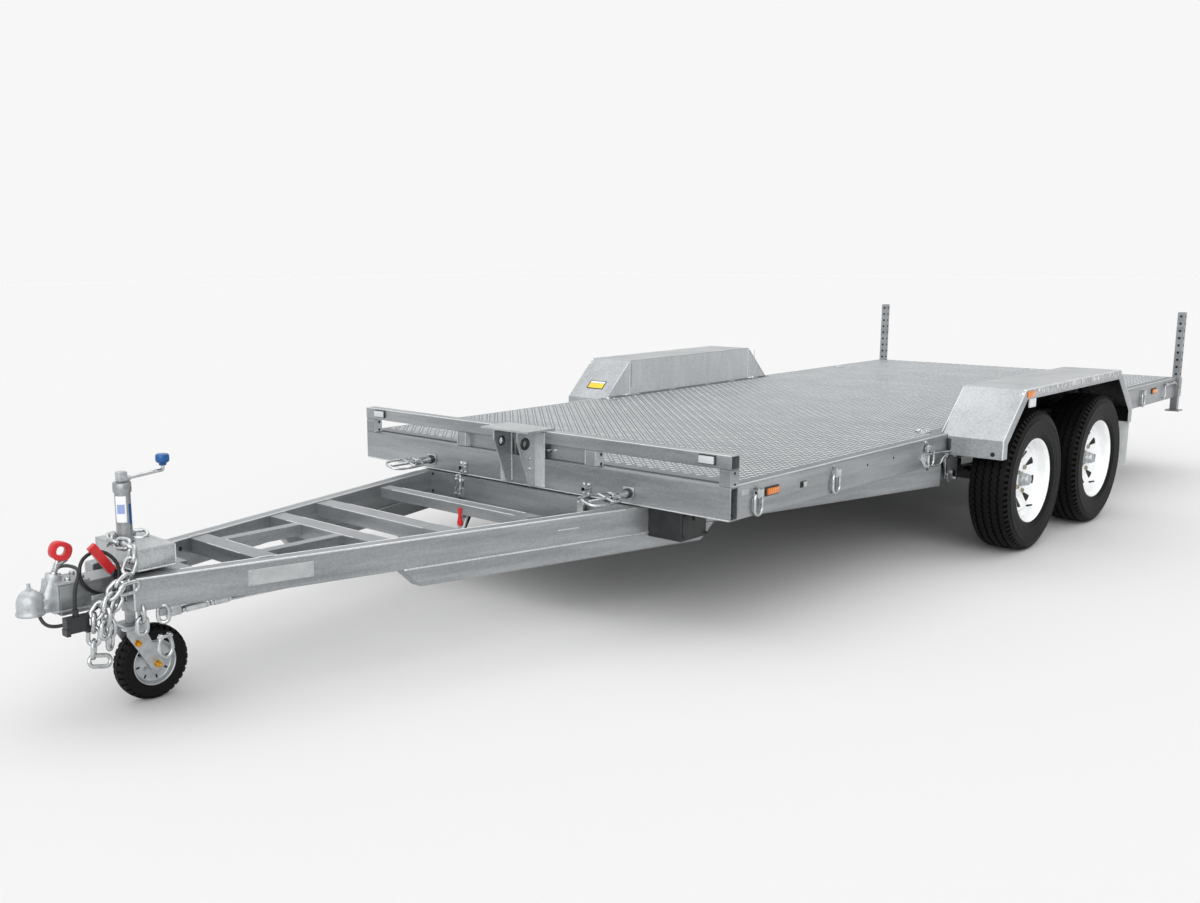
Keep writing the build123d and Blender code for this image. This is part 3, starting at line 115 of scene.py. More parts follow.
def on(side, rows):
    """The rows for the left (1) or the right (-1): every (x, y, z) in them has its y times the side."""
    def turned(value):
        if isinstance(value, list):
            return [turned(item) for item in value]
        if isinstance(value, tuple) and len(value) == 3:
            return (value[0], side * value[1], value[2])
        return value
    return [(tool, *map(turned, values)) for tool, *values in rows]


def both(*rows):
    """The rows for the left, then for the right."""
    return on(1, rows) + on(-1, rows)


def both_lines(*lines):
    """Lines of places for the left, then for the right."""
    return [[(x, side * y, z) for x, y, z in line] for side in (1, -1) for line in lines]


def pointing(place, direction, spin=0.0):
    """Matrix that takes +Z to a direction and the origin to a place."""
    turn = Vector(direction).to_track_quat("Z", "Y").to_matrix().to_4x4()
    return Matrix.Translation(place) @ turn @ Matrix.Rotation(spin, 4, "Z")


def faces_of(verts):
    """The faces that some vertices are in."""
    return list({f for v in verts for f in v.link_faces})


def only(kind, geometry):
    """The vertices, edges or faces among what an operator made."""
    return [g for g in geometry if isinstance(g, kind)]


def soften(bm, verts, offset, segments=2, angle=30):
    """Bevels the sharp edges among some vertices."""
    chosen = set(verts)
    edges = [e for e in bm.edges if e.verts[0] in chosen and e.verts[1] in chosen
             and len(e.link_faces) == 2 and e.calc_face_angle(0) > math.radians(angle)]
    bmesh.ops.bevel(bm, geom=edges, offset=offset / 1000, offset_type="OFFSET", segments=segments, profile=0.5,
                    affect="EDGES", clamp_overlap=True, material=-1)


def block(bm, middle, size, turn=None):
    """Corners of a new plain box about its middle, in world metres."""
    place = Matrix.Translation(middle) @ (turn or Matrix.Identity(4)) @ Matrix.Diagonal((*size, 1))
    return bmesh.ops.create_cube(bm, size=1, matrix=place)["verts"]


def cuboid(bm, low, high, bevel=1.5, turn=None):
    """A box between two corners with eased edges, turned about its own middle."""
    low, high = spot(low), spot(high)
    verts = block(bm, (low + high) / 2, [abs(reach) for reach in high - low], turn)
    if bevel:
        soften(bm, verts, bevel)


def bar(bm, start, end, radius, sides=16, bevel=0, end_radius=None):
    """A round, or with few sides a faceted, bar between two points."""
    start, end = spot(start), spot(end)
    run = end - start
    top = radius if end_radius is None else end_radius
    verts = bmesh.ops.create_cone(bm, cap_ends=True, cap_tris=False, segments=sides, radius1=radius / 1000,
                                  radius2=top / 1000, depth=run.length,
                                  matrix=pointing((start + end) / 2, run))["verts"]
    if bevel:
        soften(bm, verts, bevel, angle=50)


def lathe(bm, profile, centre, axis, steps=64, closed=False):
    """Spins (radius, distance along the axis) points round an axis. closed joins the last point to the first."""
    verts = [bm.verts.new((radius / 1000, 0, along / 1000)) for radius, along in profile]
    pairs = list(zip(verts, verts[1:]))
    if closed:
        pairs.append((verts[-1], verts[0]))
    edges = [bm.edges.new(pair) for pair in pairs]
    before = set(bm.verts) - set(verts)
    bmesh.ops.spin(bm, geom=verts + edges, cent=(0, 0, 0), axis=(0, 0, 1), angle=math.tau, steps=steps,
                   use_merge=True)
    turned = [v for v in bm.verts if v not in before]
    bmesh.ops.remove_doubles(bm, verts=turned, dist=1e-6)
    turned = [v for v in bm.verts if v not in before]
    bmesh.ops.transform(bm, matrix=pointing(spot(centre), axis), verts=turned)
    bmesh.ops.recalc_face_normals(bm, faces=faces_of(turned))
    return turned


def over(profile):
    """A profile's other half: the same radii back on the far side of the middle."""
    return [(radius, -along) for radius, along in profile[::-1]]


def bolt(bm, place, direction, across=17, height=8, washer=12, stud=0):
    """Hex head or nut on a washer, with a stud end standing out of it."""
    place, out = spot(place), Vector(direction).normalized() / 1000
    bar(bm, place, place + out * 2, washer, 20)
    bar(bm, place + out * 2, place + out * (2 + height), across / 2 / math.cos(math.pi / 6), 6, 1)
    if stud:
        bar(bm, place + out * height, place + out * (height + stud), across * 0.3, 12, 0.8)


def wire(name, lines, radius, smooth_line=True, rounding=3, resolution=6):
    """Round wire along one or more lines of places, as a curve."""
    data = bpy.data.curves.new(name, "CURVE")
    data.dimensions = "3D"
    data.bevel_depth = radius / 1000
    data.bevel_resolution = rounding
    data.use_fill_caps = True
    for points in lines:
        spline = data.splines.new("NURBS" if smooth_line else "POLY")
        spline.points.add(len(points) - 1)
        for target, point in zip(spline.points, points):
            target.co = (*spot(point), 1)
        if smooth_line:
            spline.order_u = 3
            spline.use_endpoint_u = True
            spline.resolution_u = resolution
    return data


def bent_bar(name, lines, radius, finish, body, smooth_line=True):
    """Round wire along one or more lines of places, made a closed mesh."""
    bare = bpy.data.objects.new(name + "_line", wire(name, lines, radius, smooth_line))
    scene.collection.objects.link(bare)
    bpy.context.view_layer.update()
    mesh = bpy.data.meshes.new_from_object(bare.evaluated_get(bpy.context.evaluated_depsgraph_get()))
    bpy.data.objects.remove(bare)
    bm = bmesh.new()
    bm.from_mesh(mesh)
    bmesh.ops.remove_doubles(bm, verts=bm.verts, dist=1e-6)
    make(name, bm, finish, body, smooth=40)


# ---- material tools -----------------------------------------------------------------------------
def linear(code):
    """Linear colour of an sRGB hex value."""
    parts = [int(code[i:i + 2], 16) / 255 for i in (1, 3, 5)]
    return (*(c / 12.92 if c <= 0.04045 else ((c + 0.055) / 1.055) ** 2.4 for c in parts), 1)


def add(tree, kind, values=(), links=(), **settings):
    """Adds one node with its settings, socket values and links."""
    node = tree.nodes.new("ShaderNode" + kind)
    for key, value in settings.items():
        setattr(node, key, value)
    for key, value in dict(values).items():
        node.inputs[key].default_value = value
    for key, source in dict(links).items():
        tree.links.new(source, node.inputs[key])
    return node


def surface(name, slot, **values):
    """New material: its tree, its shader and the object coordinates."""
    finish = bpy.data.materials.new(name)
    finish.use_nodes = True
    tree = finish.node_tree
    shader = tree.nodes["Principled BSDF"]
    for key, value in values.items():
        shader.inputs[key.replace("_", " ").title().replace("Ior", "IOR")].default_value = value
    place = add(tree, "TexCoord").outputs["Object"]
    return finish, tree, shader, place


def noise(tree, place, scale, detail=2.0, rough=0.5, stretch=None):
    """Noise of a size in metres, longer one way when stretched."""
    if stretch:
        place = add(tree, "Mapping", values={"Scale": stretch}, links={"Vector": place}).outputs[0]
    made = add(tree, "TexNoise", values={"Scale": 1 / scale, "Detail": detail, "Roughness": rough},
               links={"Vector": place})
    return made.outputs["Fac"]


def ramp(tree, source, low, high, colours):
    """Colour or grey that runs between two levels of a pattern."""
    band = add(tree, "ValToRGB", links={"Fac": source})
    ends = band.color_ramp.elements
    ends[0].position, ends[1].position = low, high
    ends[0].color, ends[1].color = colours
    return band.outputs["Color"]


def spread(tree, source, low, high, first, last):
    """A number that runs from first to last as a pattern goes from low to high."""
    values = {"From Min": low, "From Max": high, "To Min": first, "To Max": last}
    return add(tree, "MapRange", values=values, links={"Value": source}).outputs["Result"]


def blend_colour(tree, factor, first, last):
    """Mixes two colours, each a colour or a socket, by a factor."""
    values, links = {}, {}
    for key, item in ((0, factor), (6, first), (7, last)):
        if isinstance(item, (tuple, float, int)):
            values[key] = item
        else:
            links[key] = item
    return add(tree, "Mix", values=values, links=links, data_type="RGBA", blend_type="MIX").outputs[2]


def bump(tree, shader, height, strength, depth):
    """Raises the surface by a pattern, to a depth in metres."""
    made = add(tree, "Bump", values={"Strength": strength, "Distance": depth}, links={"Height": height})
    tree.links.new(made.outputs["Normal"], shader.inputs["Normal"])


def grey(level):
    """A linear grey."""
    return (level, level, level, 1)


# ---- materials ----------------------------------------------------------------------------------
FENDER_SKIRT = (1.222, 1.240)    # distance from the middle where the drained crust fades in, metres


def zinc(name, slot, dark, light, crystal, streak, roughness, metallic=0.8, contrast=0.3, runs=None):
    """Hot-dip galvanised steel: zinc crystals that each turn the light a little, clouded along the drain lines."""
    finish, tree, shader, place = surface(name, slot, metallic=metallic)
    cells = add(tree, "TexVoronoi", values={"Scale": 1 / crystal, "Randomness": 1.0},
                links={"Vector": place}, feature="F1")
    spangle = add(tree, "SeparateColor", links={"Color": cells.outputs["Color"]}).outputs["Red"]
    clouds = noise(tree, place, 0.16, detail=5.0, rough=0.62, stretch=streak)
    grain = noise(tree, place, 0.003, detail=2.0)
    level = add(tree, "Mix", values={0: contrast}, links={2: clouds, 3: spangle}, data_type="FLOAT").outputs[0]
    colour = ramp(tree, level, 0.30, 0.70, (linear(dark), linear(light)))
    if runs:    # white crust near a fender's top fold, between two heights
        height = add(tree, "SeparateXYZ", links={"Vector": place}).outputs["Z"]
        band = spread(tree, height, *runs, 0.0, 1.0)
        aside = add(tree, "SeparateXYZ", links={"Vector": place}).outputs["Y"]
        aside = add(tree, "Math", links={0: aside}, operation="ABSOLUTE").outputs[0]
        band = add(tree, "Math", links={0: band, 1: spread(tree, aside, *FENDER_SKIRT, 0.0, 1.0)},
                   operation="MULTIPLY").outputs[0]
        dribble = noise(tree, place, 0.010, detail=3.0, rough=0.7, stretch=(1.0, 1.0, 0.3))
        crust = spread(tree, dribble, 0.52, 0.58, 0.0, 1.0)
        factor = add(tree, "Math", links={0: band, 1: crust}, operation="MULTIPLY").outputs[0]
        colour = blend_colour(tree, factor, colour, linear("#eef0f0"))
    tree.links.new(colour, shader.inputs["Base Color"])
    dull = add(tree, "Mix", values={0: 0.5}, links={2: spangle, 3: grain}, data_type="FLOAT").outputs[0]
    tree.links.new(spread(tree, dull, 0.2, 0.8, roughness - 0.07, roughness + 0.09), shader.inputs["Roughness"])
    bump(tree, shader, dull, 0.2, 0.0002)
    return finish


def mottled(made, broad, fine, dark, light, roughness, depth):
    """Even colour with a broad mottle, and a fine texture in the gloss and the bump."""
    finish, tree, shader, place = made
    (broad_size, broad_detail), (fine_size, fine_detail) = broad, fine
    mottle = noise(tree, place, broad_size, detail=broad_detail)
    grain = noise(tree, place, fine_size, detail=fine_detail)
    tree.links.new(ramp(tree, mottle, 0.3, 0.7, (linear(dark), linear(light))), shader.inputs["Base Color"])
    tree.links.new(spread(tree, grain, 0.3, 0.7, *roughness), shader.inputs["Roughness"])
    bump(tree, shader, grain, 0.3, depth)
    return finish


def plain_metal(name, slot, dark, light, roughness, metallic=1.0, grain=0.006, depth=0.0002):
    """Plated or painted metal with slight mottling and a fine grain."""
    return mottled(surface(name, slot, metallic=metallic), (grain * 5, 3.0), (grain, 2.0), dark, light,
                   (roughness - 0.06, roughness + 0.08), depth)


def moulded(name, slot, dark, light, roughness, ior=1.5, grain=0.003, coat=0.0, depth=0.0001):
    """Moulded plastic or rubber: even colour, faint flow marks and a fine texture."""
    return mottled(surface(name, slot, ior=ior, coat_weight=coat), (0.05, 2.0), (grain, 1.0), dark, light,
                   (roughness - 0.05, roughness + 0.06), depth)


def lens(name, slot, colour, edge):
    """Clear moulded acrylic over a reflector: ribbed, bright and glossy."""
    finish, tree, shader, place = surface(name, slot, roughness=0.12, ior=1.49, coat_weight=0.6)
    ribs = add(tree, "TexWave", values={"Scale": 26.0, "Distortion": 0.0}, links={"Vector": place},
               wave_type="BANDS", bands_direction="X")
    tree.links.new(ramp(tree, ribs.outputs["Fac"], 0.1, 0.9, (linear(edge), linear(colour))),
                   shader.inputs["Base Color"])
    bump(tree, shader, ribs.outputs["Fac"], 0.5, 0.0008)
    return finish


# hot-dip galvanised tube: even mid grey with long drain streaks, bright where it is smooth
galvanised = zinc("galvanised_tube", "galvanised", "#868a8d", "#aeb1b3", 0.006, (0.25, 0.25, 3.0), 0.36,
                  contrast=0.12)
# hot-dip galvanised sheet: fine sparkling crystals, white crust where the zinc drained along the top fold
galvanised_sheet = zinc("galvanised_sheet", "galvanised", "#9a9da0", "#bbbec0", 0.005, None, 0.42,
                        runs=(0.722, 0.736))
# galvanised floor plate, a little duller than the tubes
floor_zinc = zinc("galvanised_floor", "checker_plate", "#6e7275", "#84888b", 0.006, (1.0, 0.2, 1.0), 0.44)
# the rolled bars of the floor plate, brighter than the plate: painted highlight on the bars
tread_highlight_zinc = zinc("galvanised_tread_bars", "checker_plate", "#b4b7ba", "#d2d5d6", 0.012, None, 0.36)
# galvanised bracket plate: brighter than the tubes it is welded to
bracket_zinc = zinc("galvanised_bracket", "galvanised", "#a3a7a9", "#c4c7c9", 0.005, (1.0, 1.0, 0.5), 0.34)
# painted light: bright zinc plates laid on faces that would lie in shade, with short vertical runs
painted_light_zinc = zinc("galvanised_painted_light", "galvanised", "#c2c5c7", "#dcdedf", 0.005, (3.0, 3.0, 0.6), 0.36,
                    metallic=0.5)
# zinc that froze over the weld beads: rippled and brighter than the plate round it; laid as fine lines along edges and
# corners it is painted highlight
weld_and_highlight_zinc = zinc("galvanised_weld_and_highlight", "galvanised", "#c3c6c8", "#e3e5e6", 0.003, None, 0.38)
# bright zinc plating: chains, rings, latches and pins
bright_zinc = plain_metal("bright_zinc_plating", "bright_zinc", "#a7aaac", "#d3d6d7", 0.24)
# silver enamel on an iron casting: fine orange peel from the sand mould
silver_cast = plain_metal("silver_enamelled_casting", "silver_cast", "#a5a9ac", "#bdc1c3", 0.38, metallic=0.6,
                          grain=0.004, depth=0.0004)
# wheel nuts: zinc plating with a faint yellow passivation
nut_zinc = plain_metal("passivated_wheel_nut", "galvanised", "#9b968a", "#bdb59c", 0.3)
# yellow passivated zinc: warm gold bolts
yellow_zinc = plain_metal("yellow_passivated_zinc", "yellow_zinc", "#c98f2c", "#e6b347", 0.3)
# black painted steel: axles, springs and their fixings
black_steel = plain_metal("black_painted_steel", "black_steel", "#101112", "#1a1b1d", 0.42, metallic=0.0)
# painted shade: a smooth, glossy black sheet inside the fenders, where their galvanised inside lies in shadow
shade_liner = plain_metal("black_painted_shade_liner", "black_steel", "#0b0c0d", "#141517", 0.30, metallic=0.0, grain=0.02)
# satin aluminium of the data plates
plate_metal = plain_metal("satin_aluminium", "bright_zinc", "#b4b7b9", "#c6c9ca", 0.35)
# white powder coat on the wheels: clean, slightly orange-peeled and glossy
white_enamel = moulded("white_powder_coat", "white_paint", "#e9ebec", "#f4f5f6", 0.28, coat=0.3, grain=0.006)
# dipped red handle covers: glossy vinyl
red_vinyl = moulded("red_dipped_vinyl", "red_plastic", "#b3161d", "#cf242a", 0.32)
# blue moulded knob
blue_nylon = moulded("blue_moulded_nylon", "blue_plastic", "#06417c", "#0b5594", 0.26)
# tyre rubber: near black, dull, with a faint bloom
tyre_rubber = moulded("carbon_black_rubber", "tyre_rubber", "#040405", "#08080a", 0.55, ior=1.28,
                       grain=0.004, depth=0.0003)
# flexible cable sheath
cable_sheath = moulded("pvc_cable_sheath", "cable_sheath", "#101113", "#1a1b1d", 0.42)
# black moulded housings: plug, battery box, lamp bases
black_abs = moulded("black_moulded_abs", "black_plastic", "#1b1c1e", "#27292b", 0.4)
# painted shade: flat near-black that stands in for the shadow inside holes, slots, windows, gaps and open tubes
painted_shade_hollow = moulded("painted_shade_in_openings", "black_steel", "#0c0d0e", "#131415", 0.7)
# pale moulded mudflap
flap_white = moulded("pale_mudflap_plastic", "flap_plastic", "#cfd2d3", "#dee0e1", 0.5)
# printed vinyl labels with nothing on them
label_white = moulded("white_label_vinyl", "white_paint", "#e2e4e6", "#eceeef", 0.35)
label_blue = moulded("blue_label_vinyl", "blue_plastic", "#7f95c4", "#8ea2cc", 0.35)
label_yellow = moulded("yellow_label_vinyl", "yellow_zinc", "#e0bd1e", "#ecca2c", 0.4)
# lamp lenses
amber = lens("amber_acrylic_lens", "amber_lens", "#f08a1c", "#b4560a")
clear = lens("clear_acrylic_lens", "white_paint", "#c9cdd0", "#8d9296")
red_lens = lens("red_acrylic_lens", "red_lens", "#c01820", "#7c0c12")


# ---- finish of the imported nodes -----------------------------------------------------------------
WHEELS = [f"{place}_{side}" for place in ("front", "rear") for side in ("left", "right")]
NODE_FINISH = {
    galvanised: ("a_frame_beams", "lower_rails", "cross_members", "tongue", "nose_plates", "deck_rails", "headboard",
                 "hinge_plates", "leg_sockets", "rear_leg_left", "rear_leg_right", "jockey_outer_tube",
                 "jockey_stem", "jockey_fork", "floor_joists"),
    galvanised_sheet: ("fender_left", "fender_right"),
    bracket_zinc: ("winch_bracket",),
    floor_zinc: ("deck_floor",),
    bright_zinc: ("hinge_pins", "toggle_latches", "latch_keepers", "locking_pins", "tie_downs", "safety_chains",
                  "jockey_crank", "jockey_rim", "brake_rod", "handbrake_lever",
                  *("hub_" + wheel for wheel in WHEELS)),
    silver_cast: ("coupling",),
    red_vinyl: ("coupling_handle", "handbrake_grip"),
    blue_nylon: ("crank_knob",),
    yellow_zinc: ("jockey_axle",),
    black_abs: ("plug", "lead_gland", "battery_box"),
    cable_sheath: ("plug_lead",),
    black_steel: ("axles", "leaf_springs", "spring_hangers"),
    flap_white: ("mudflaps",),
    amber: ("marker_lamps",),
    red_lens: ("tail_lamps",),
    tyre_rubber: ("jockey_tyre", *("tyre_" + wheel for wheel in WHEELS)),
    white_enamel: tuple("rim_" + wheel for wheel in WHEELS),
}
for finish, names in NODE_FINISH.items():
    for name in names:
        nodes[name].data.materials.clear()
        nodes[name].data.materials.append(finish)


# ---- the lead -----------------------------------------------------------------------------------
LEAD_ROUTE = [
    (1812, 64, 370), (1872, 63, 384), (1922, 62, 440), (1900, 40, 500), (1836, 43, 516), (1796, 74, 468),
    (1812, 82, 402), (1868, 88, 362), (1930, 76, 330), (1986, 50, 310), (2000, -20, 304), (1990, -82, 338),
    (1958, -98, 402), (1920, -86, 452), (1905, -38, 465), (1905, 44, 465), (1962, 114, 430), (1962, 114, 372),
]
LEAD_DIAMETER = 0.011    # metres


def lay_lead():
    """Seven-core lead as one smooth line through the bends of its route."""
    data = wire("trailer_lead", [LEAD_ROUTE], LEAD_DIAMETER * 1000 / 2, rounding=4, resolution=12)
    data.materials.append(cable_sheath)
    lead = bpy.data.objects.new("trailer_lead", data)
    scene.collection.objects.link(lead)
    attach(lead, "drawbar")
    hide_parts("plug_lead")


lay_lead()


# ---- eased edges on the folded and welded steel -------------------------------------------------
BEAM_SLOPE = (1.000 - 0.153) / (1.798 + 1.620)    # how fast an A-frame beam runs outward towards the rear
MEMBER_REACH = (0.404, 0.476)    # where the ladder's rearmost member starts and ends, metres ahead of the deck's front
MEMBER_LOW = 0.38                # everything of it is above this height
MEMBER_END = 0.3                 # its ends are further than this from the middle
MEMBER_SHIFT = -0.068            # how far it is set, to the rear


def move_last_member(bm):
    """Sets the rearmost ladder member back towards the crossbeam and lengthens it to the beams there."""
    low, high = MEMBER_REACH
    for v in bm.verts:
        if low < v.co.x - DECK_FRONT < high and v.co.z > MEMBER_LOW:
            v.co.x += MEMBER_SHIFT
            if abs(v.co.y) > MEMBER_END:
                v.co.y -= math.copysign(MEMBER_SHIFT * BEAM_SLOPE, v.co.y)


def eased(name, width, body, nudge=None):
    """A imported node's own shape with its sharp edges rounded, as rolled or folded steel has them."""
    source = nodes[name]
    bm = bmesh.new()
    bm.from_mesh(source.data)
    if nudge:
        nudge(bm)
    bmesh.ops.remove_doubles(bm, verts=bm.verts, dist=1e-5)
    bmesh.ops.dissolve_limit(bm, angle_limit=math.radians(0.5), verts=bm.verts, edges=bm.edges)
    soften(bm, bm.verts, width, angle=25)
    bmesh.ops.remove_doubles(bm, verts=bm.verts, dist=1e-6)
    make(name + "_eased", bm, source.data.materials[0], body, replaced=(name,))


EASED = {
    "drawbar": (("a_frame_beams", 6), ("lower_rails", 5), ("cross_members", 4), ("nose_plates", 1),
                ("battery_box", 4), ("handbrake_grip", 3), ("handbrake_lever", 1), ("tongue", 3)),
    "deck": (("deck_rails", 4), ("headboard", 4), ("fender_left", 1.5), ("fender_right", 1.5),
             ("winch_bracket", 1.5), ("hinge_plates", 1.5), ("mudflaps", 1.5), ("leg_sockets", 1)),
    "leg_left": (("rear_leg_left", 1.5),),
    "leg_right": (("rear_leg_right", 1.5),),
}
for body, widths in EASED.items():
    for name, width in widths:
        eased(name, width, body, nudge=move_last_member if name == "cross_members" else None)


# ---- floor plate, in metres ---------------------------------------------------------------------
TREAD_PITCH = 0.027
TREAD_LENGTH = 0.022
TREAD_WIDTH = 0.0060
TREAD_HEIGHT = 0.0014
TREAD_SLOPE = 0.36    # run of a bar's sloping sides, as a share of its width
TREAD_CROWN = 0.80    # length of its top, as a share of what the slopes leave
CELL = 2 * TREAD_PITCH
EDGE = 0.016    # bare strip left along the floor's edges


def tread_cell(bm):
    """Two raised lozenges at right angles, one cell of the floor plate's pattern, on z = 0."""
    for turn, shift in ((45, 0.0), (-45, TREAD_PITCH)):
        square = bmesh.ops.create_grid(bm, x_segments=1, y_segments=1, size=0.5)["verts"]
        bmesh.ops.scale(bm, vec=(TREAD_LENGTH, TREAD_WIDTH, 1), verts=square)
        faces = faces_of(square)
        bmesh.ops.inset_individual(bm, faces=faces, thickness=TREAD_WIDTH * TREAD_SLOPE, depth=0)
        crown = list({v for f in faces for v in f.verts})
        bmesh.ops.translate(bm, verts=crown, vec=(0, 0, TREAD_HEIGHT))
        every = list(set(square) | set(crown))
        bmesh.ops.scale(bm, vec=(TREAD_CROWN, 1, 1), verts=crown)
        bmesh.ops.rotate(bm, cent=(0, 0, 0), matrix=Matrix.Rotation(math.radians(turn), 3, "Z"), verts=every)
        bmesh.ops.translate(bm, verts=every, vec=(shift, 0, 0))


def tread_field(name, x0, y0, along, across):
    """The raised bars over one rectangle of the floor, so many cells each way."""
    floor_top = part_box("deck_floor")[1].z
    bm = bmesh.new()
    tread_cell(bm)
    bmesh.ops.translate(bm, verts=bm.verts, vec=(x0, y0, floor_top))
    second = bmesh.ops.duplicate(bm, geom=list(bm.verts) + list(bm.edges) + list(bm.faces))["geom"]
    bmesh.ops.translate(bm, verts=only(bmesh.types.BMVert, second), vec=(TREAD_PITCH, TREAD_PITCH, 0))
    piece = make(name, bm, tread_highlight_zinc, "deck")
    for count, offset in ((along, (CELL, 0, 0)), (across, (0, CELL, 0))):
        array = piece.modifiers.new("repeat", "ARRAY")
        array.count = count
        array.use_relative_offset = False
        array.use_constant_offset = True
        array.constant_offset_displace = offset


def lay_tread():
    """One unbroken pattern in three rectangles, the middle one between the fenders."""
    floor_low, floor_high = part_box("deck_floor")
    fender_low, fender_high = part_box("fender_left")
    wide = int(2 * (floor_high.y - EDGE) / CELL)
    side = -wide * CELL / 2
    skip = math.ceil((floor_high.y - fender_low.y) / CELL)
    rear = floor_low.x + EDGE
    rear_cells = int((fender_low.x - EDGE - rear) / CELL)
    middle = rear + rear_cells * CELL
    middle_cells = math.ceil((fender_high.x + EDGE - middle) / CELL)
    front = middle + middle_cells * CELL
    tread_field("tread_bars_front", front, side, int((floor_high.x - EDGE - front) / CELL), wide)
    tread_field("tread_bars_middle", middle, side + skip * CELL, middle_cells, wide - 2 * skip)
    tread_field("tread_bars_rear", rear, side, rear_cells, wide)


lay_tread()


# ---- road tyres ---------------------------------------------------------------------------------
def polar(face, steps):
    """A turned face's radius, its distance from the middle plane, and which of the steps round the axis it is."""
    middle = face.calc_center_median()
    turn = math.floor(math.atan2(middle.y, middle.x) / math.tau * steps)
    return math.hypot(middle.x, middle.y), abs(middle.z), turn


TYRE_STEPS = 144
TREAD_FROM, TREAD_HALF = 0.310, 0.0645    # least radius and half width of the zigzag tread, metres
ZIGZAG = 0.0042                           # how far its grooves step to either side
SHOULDER = (0.308, 0.3225)                # radii between which the shoulders are notched
SHOULDER_OUT = 0.074                      # and how far from the middle plane at least
NOTCH_RIM, NOTCH_DEPTH = 0.0016, 0.008


def tyre(name, centre, body, node_name):
    """Light-truck tyre: four zigzag grooves, notched shoulders and ringed sidewalls."""
    side = [(194.5, -76.5), (199, -81.5), (206, -85), (216, -88), (218, -89.2), (220, -89.2), (222, -89),
            (240, -92.5), (258, -93.8), (275, -93), (277, -93.8), (281, -93.6), (283, -91.5), (294, -89),
            (303, -86.8), (315, -80), (319.5, -74)]
    tread = [(325 - 3 * ((groove + offset) / 60) ** 2 - deep, groove + offset) for groove in (-50, -17, 17, 50)
             for offset, deep in ((-5.2, 0), (-4, 10), (4, 10), (5.2, 0))]
    lining = [(194.5, 66), (250, 83), (298, 78), (306, 50)]
    bm = bmesh.new()
    lathe(bm, side + tread + over(side) + lining + over(lining), ORIGIN, UP, TYRE_STEPS, True)
    for v in bm.verts:
        if math.hypot(v.co.x, v.co.y) > TREAD_FROM and abs(v.co.z) < TREAD_HALF:
            turn = round(math.atan2(v.co.y, v.co.x) / math.tau * TYRE_STEPS)
            v.co.z += ZIGZAG if turn % 2 else -ZIGZAG
    shoulder = []
    for f in bm.faces:
        radius, height, turn = polar(f, TYRE_STEPS)
        if SHOULDER[0] < radius < SHOULDER[1] and height > SHOULDER_OUT and turn % 2:
            shoulder.append(f)
    bmesh.ops.inset_individual(bm, faces=shoulder, thickness=NOTCH_RIM, depth=-NOTCH_DEPTH, use_even_offset=True)
    bmesh.ops.transform(bm, matrix=pointing(centre, OUT), verts=bm.verts)
    make(name, bm, tyre_rubber, body, smooth=28, replaced=(node_name,))


for wheel in WHEELS:
    low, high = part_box("tyre_" + wheel)
    tyre("road_tyre_" + wheel, (low + high) / 2, "wheel_" + wheel, "tyre_" + wheel)


# ---- shared small parts -------------------------------------------------------------------------
CHAIN_LENGTH, CHAIN_WIDTH, CHAIN_WIRE = 0.066, 0.045, 0.0065    # one link, metres
CHAIN_PITCH = CHAIN_LENGTH - 4 * CHAIN_WIRE - 0.001


def link(bm, place, direction, spin, longer=0.0, wider=0.0):
    """One oval chain link, its long way along a direction, some metres larger than the usual one."""
    before = set(bm.verts)
    bend = (CHAIN_WIDTH + wider) / 2 - CHAIN_WIRE
    reach = (CHAIN_LENGTH + longer) / 2 - CHAIN_WIRE - bend
    ring = bmesh.ops.create_circle(bm, segments=10, radius=CHAIN_WIRE, matrix=Matrix.Translation((bend, 0, reach)))
    first = list({e for v in ring["verts"] for e in v.link_edges})
    last = first
    for side in (1, -1):
        turn = bmesh.ops.spin(bm, geom=last, cent=(0, 0, side * reach), axis=(0, 1, 0), angle=-math.pi, steps=8)
        last = only(bmesh.types.BMEdge, turn["geom_last"])
        if side > 0:
            run = bmesh.ops.extrude_edge_only(bm, edges=last)["geom"]
            moved = only(bmesh.types.BMVert, run)
            bmesh.ops.translate(bm, verts=moved, vec=(0, 0, -2 * reach))
            last = [e for e in only(bmesh.types.BMEdge, run) if all(v in moved for v in e.verts)]
    bmesh.ops.bridge_loops(bm, edges=first + last)
    made = [v for v in bm.verts if v not in before]
    bmesh.ops.recalc_face_normals(bm, faces=faces_of(made))
    bmesh.ops.transform(bm, matrix=pointing(spot(place), direction, spin), verts=made)


def walk(points, step):
    """Places a fixed distance apart along a line of points."""
    spots, here = [points[0]], points[0]
    for target in points[1:]:
        while (target - spots[-1]).length >= step:
            low, high = 0.0, 1.0
            for _ in range(24):
                middle = (low + high) / 2
                if (here.lerp(target, middle) - spots[-1]).length < step:
                    low = middle
                else:
                    high = middle
            here = here.lerp(target, high)
            spots.append(here)
        here = target
    return spots


def chain_run(bm, points, roll):
    """Links one after another along a line of points, each turned a quarter from the last."""
    spots = walk([spot(point) for point in points], CHAIN_PITCH)
    for index, (start, end) in enumerate(zip(spots, spots[1:])):
        link(bm, (start + end) / 2, end - start, roll + (math.pi / 2 if index % 2 else 0.0))


def bead(bm, start, end, radius=3.5, pitch=6):
    """Rippled weld bead between two points."""
    start, end = spot(start), spot(end)
    length = (end - start).length * 1000
    count = max(2, round(length / pitch))
    profile = [(0, 0)]
    for index in range(count):
        near, far = length * (index + 0.1) / count, length * (index + 0.6) / count
        profile += [(radius * 0.72, near), (radius * random.uniform(0.92, 1.12), far)]
    lathe(bm, profile + [(0, length)], start, end - start, 8)


def bore(bm, place, direction, radius=6):
    """Dark disc of painted shade at a drilled hole's mouth, a hair proud of the face it is in."""
    place, out = spot(place), Vector(direction).normalized() / 1000
    bar(bm, place - out * 2, place + out * 0.4, radius, 20)


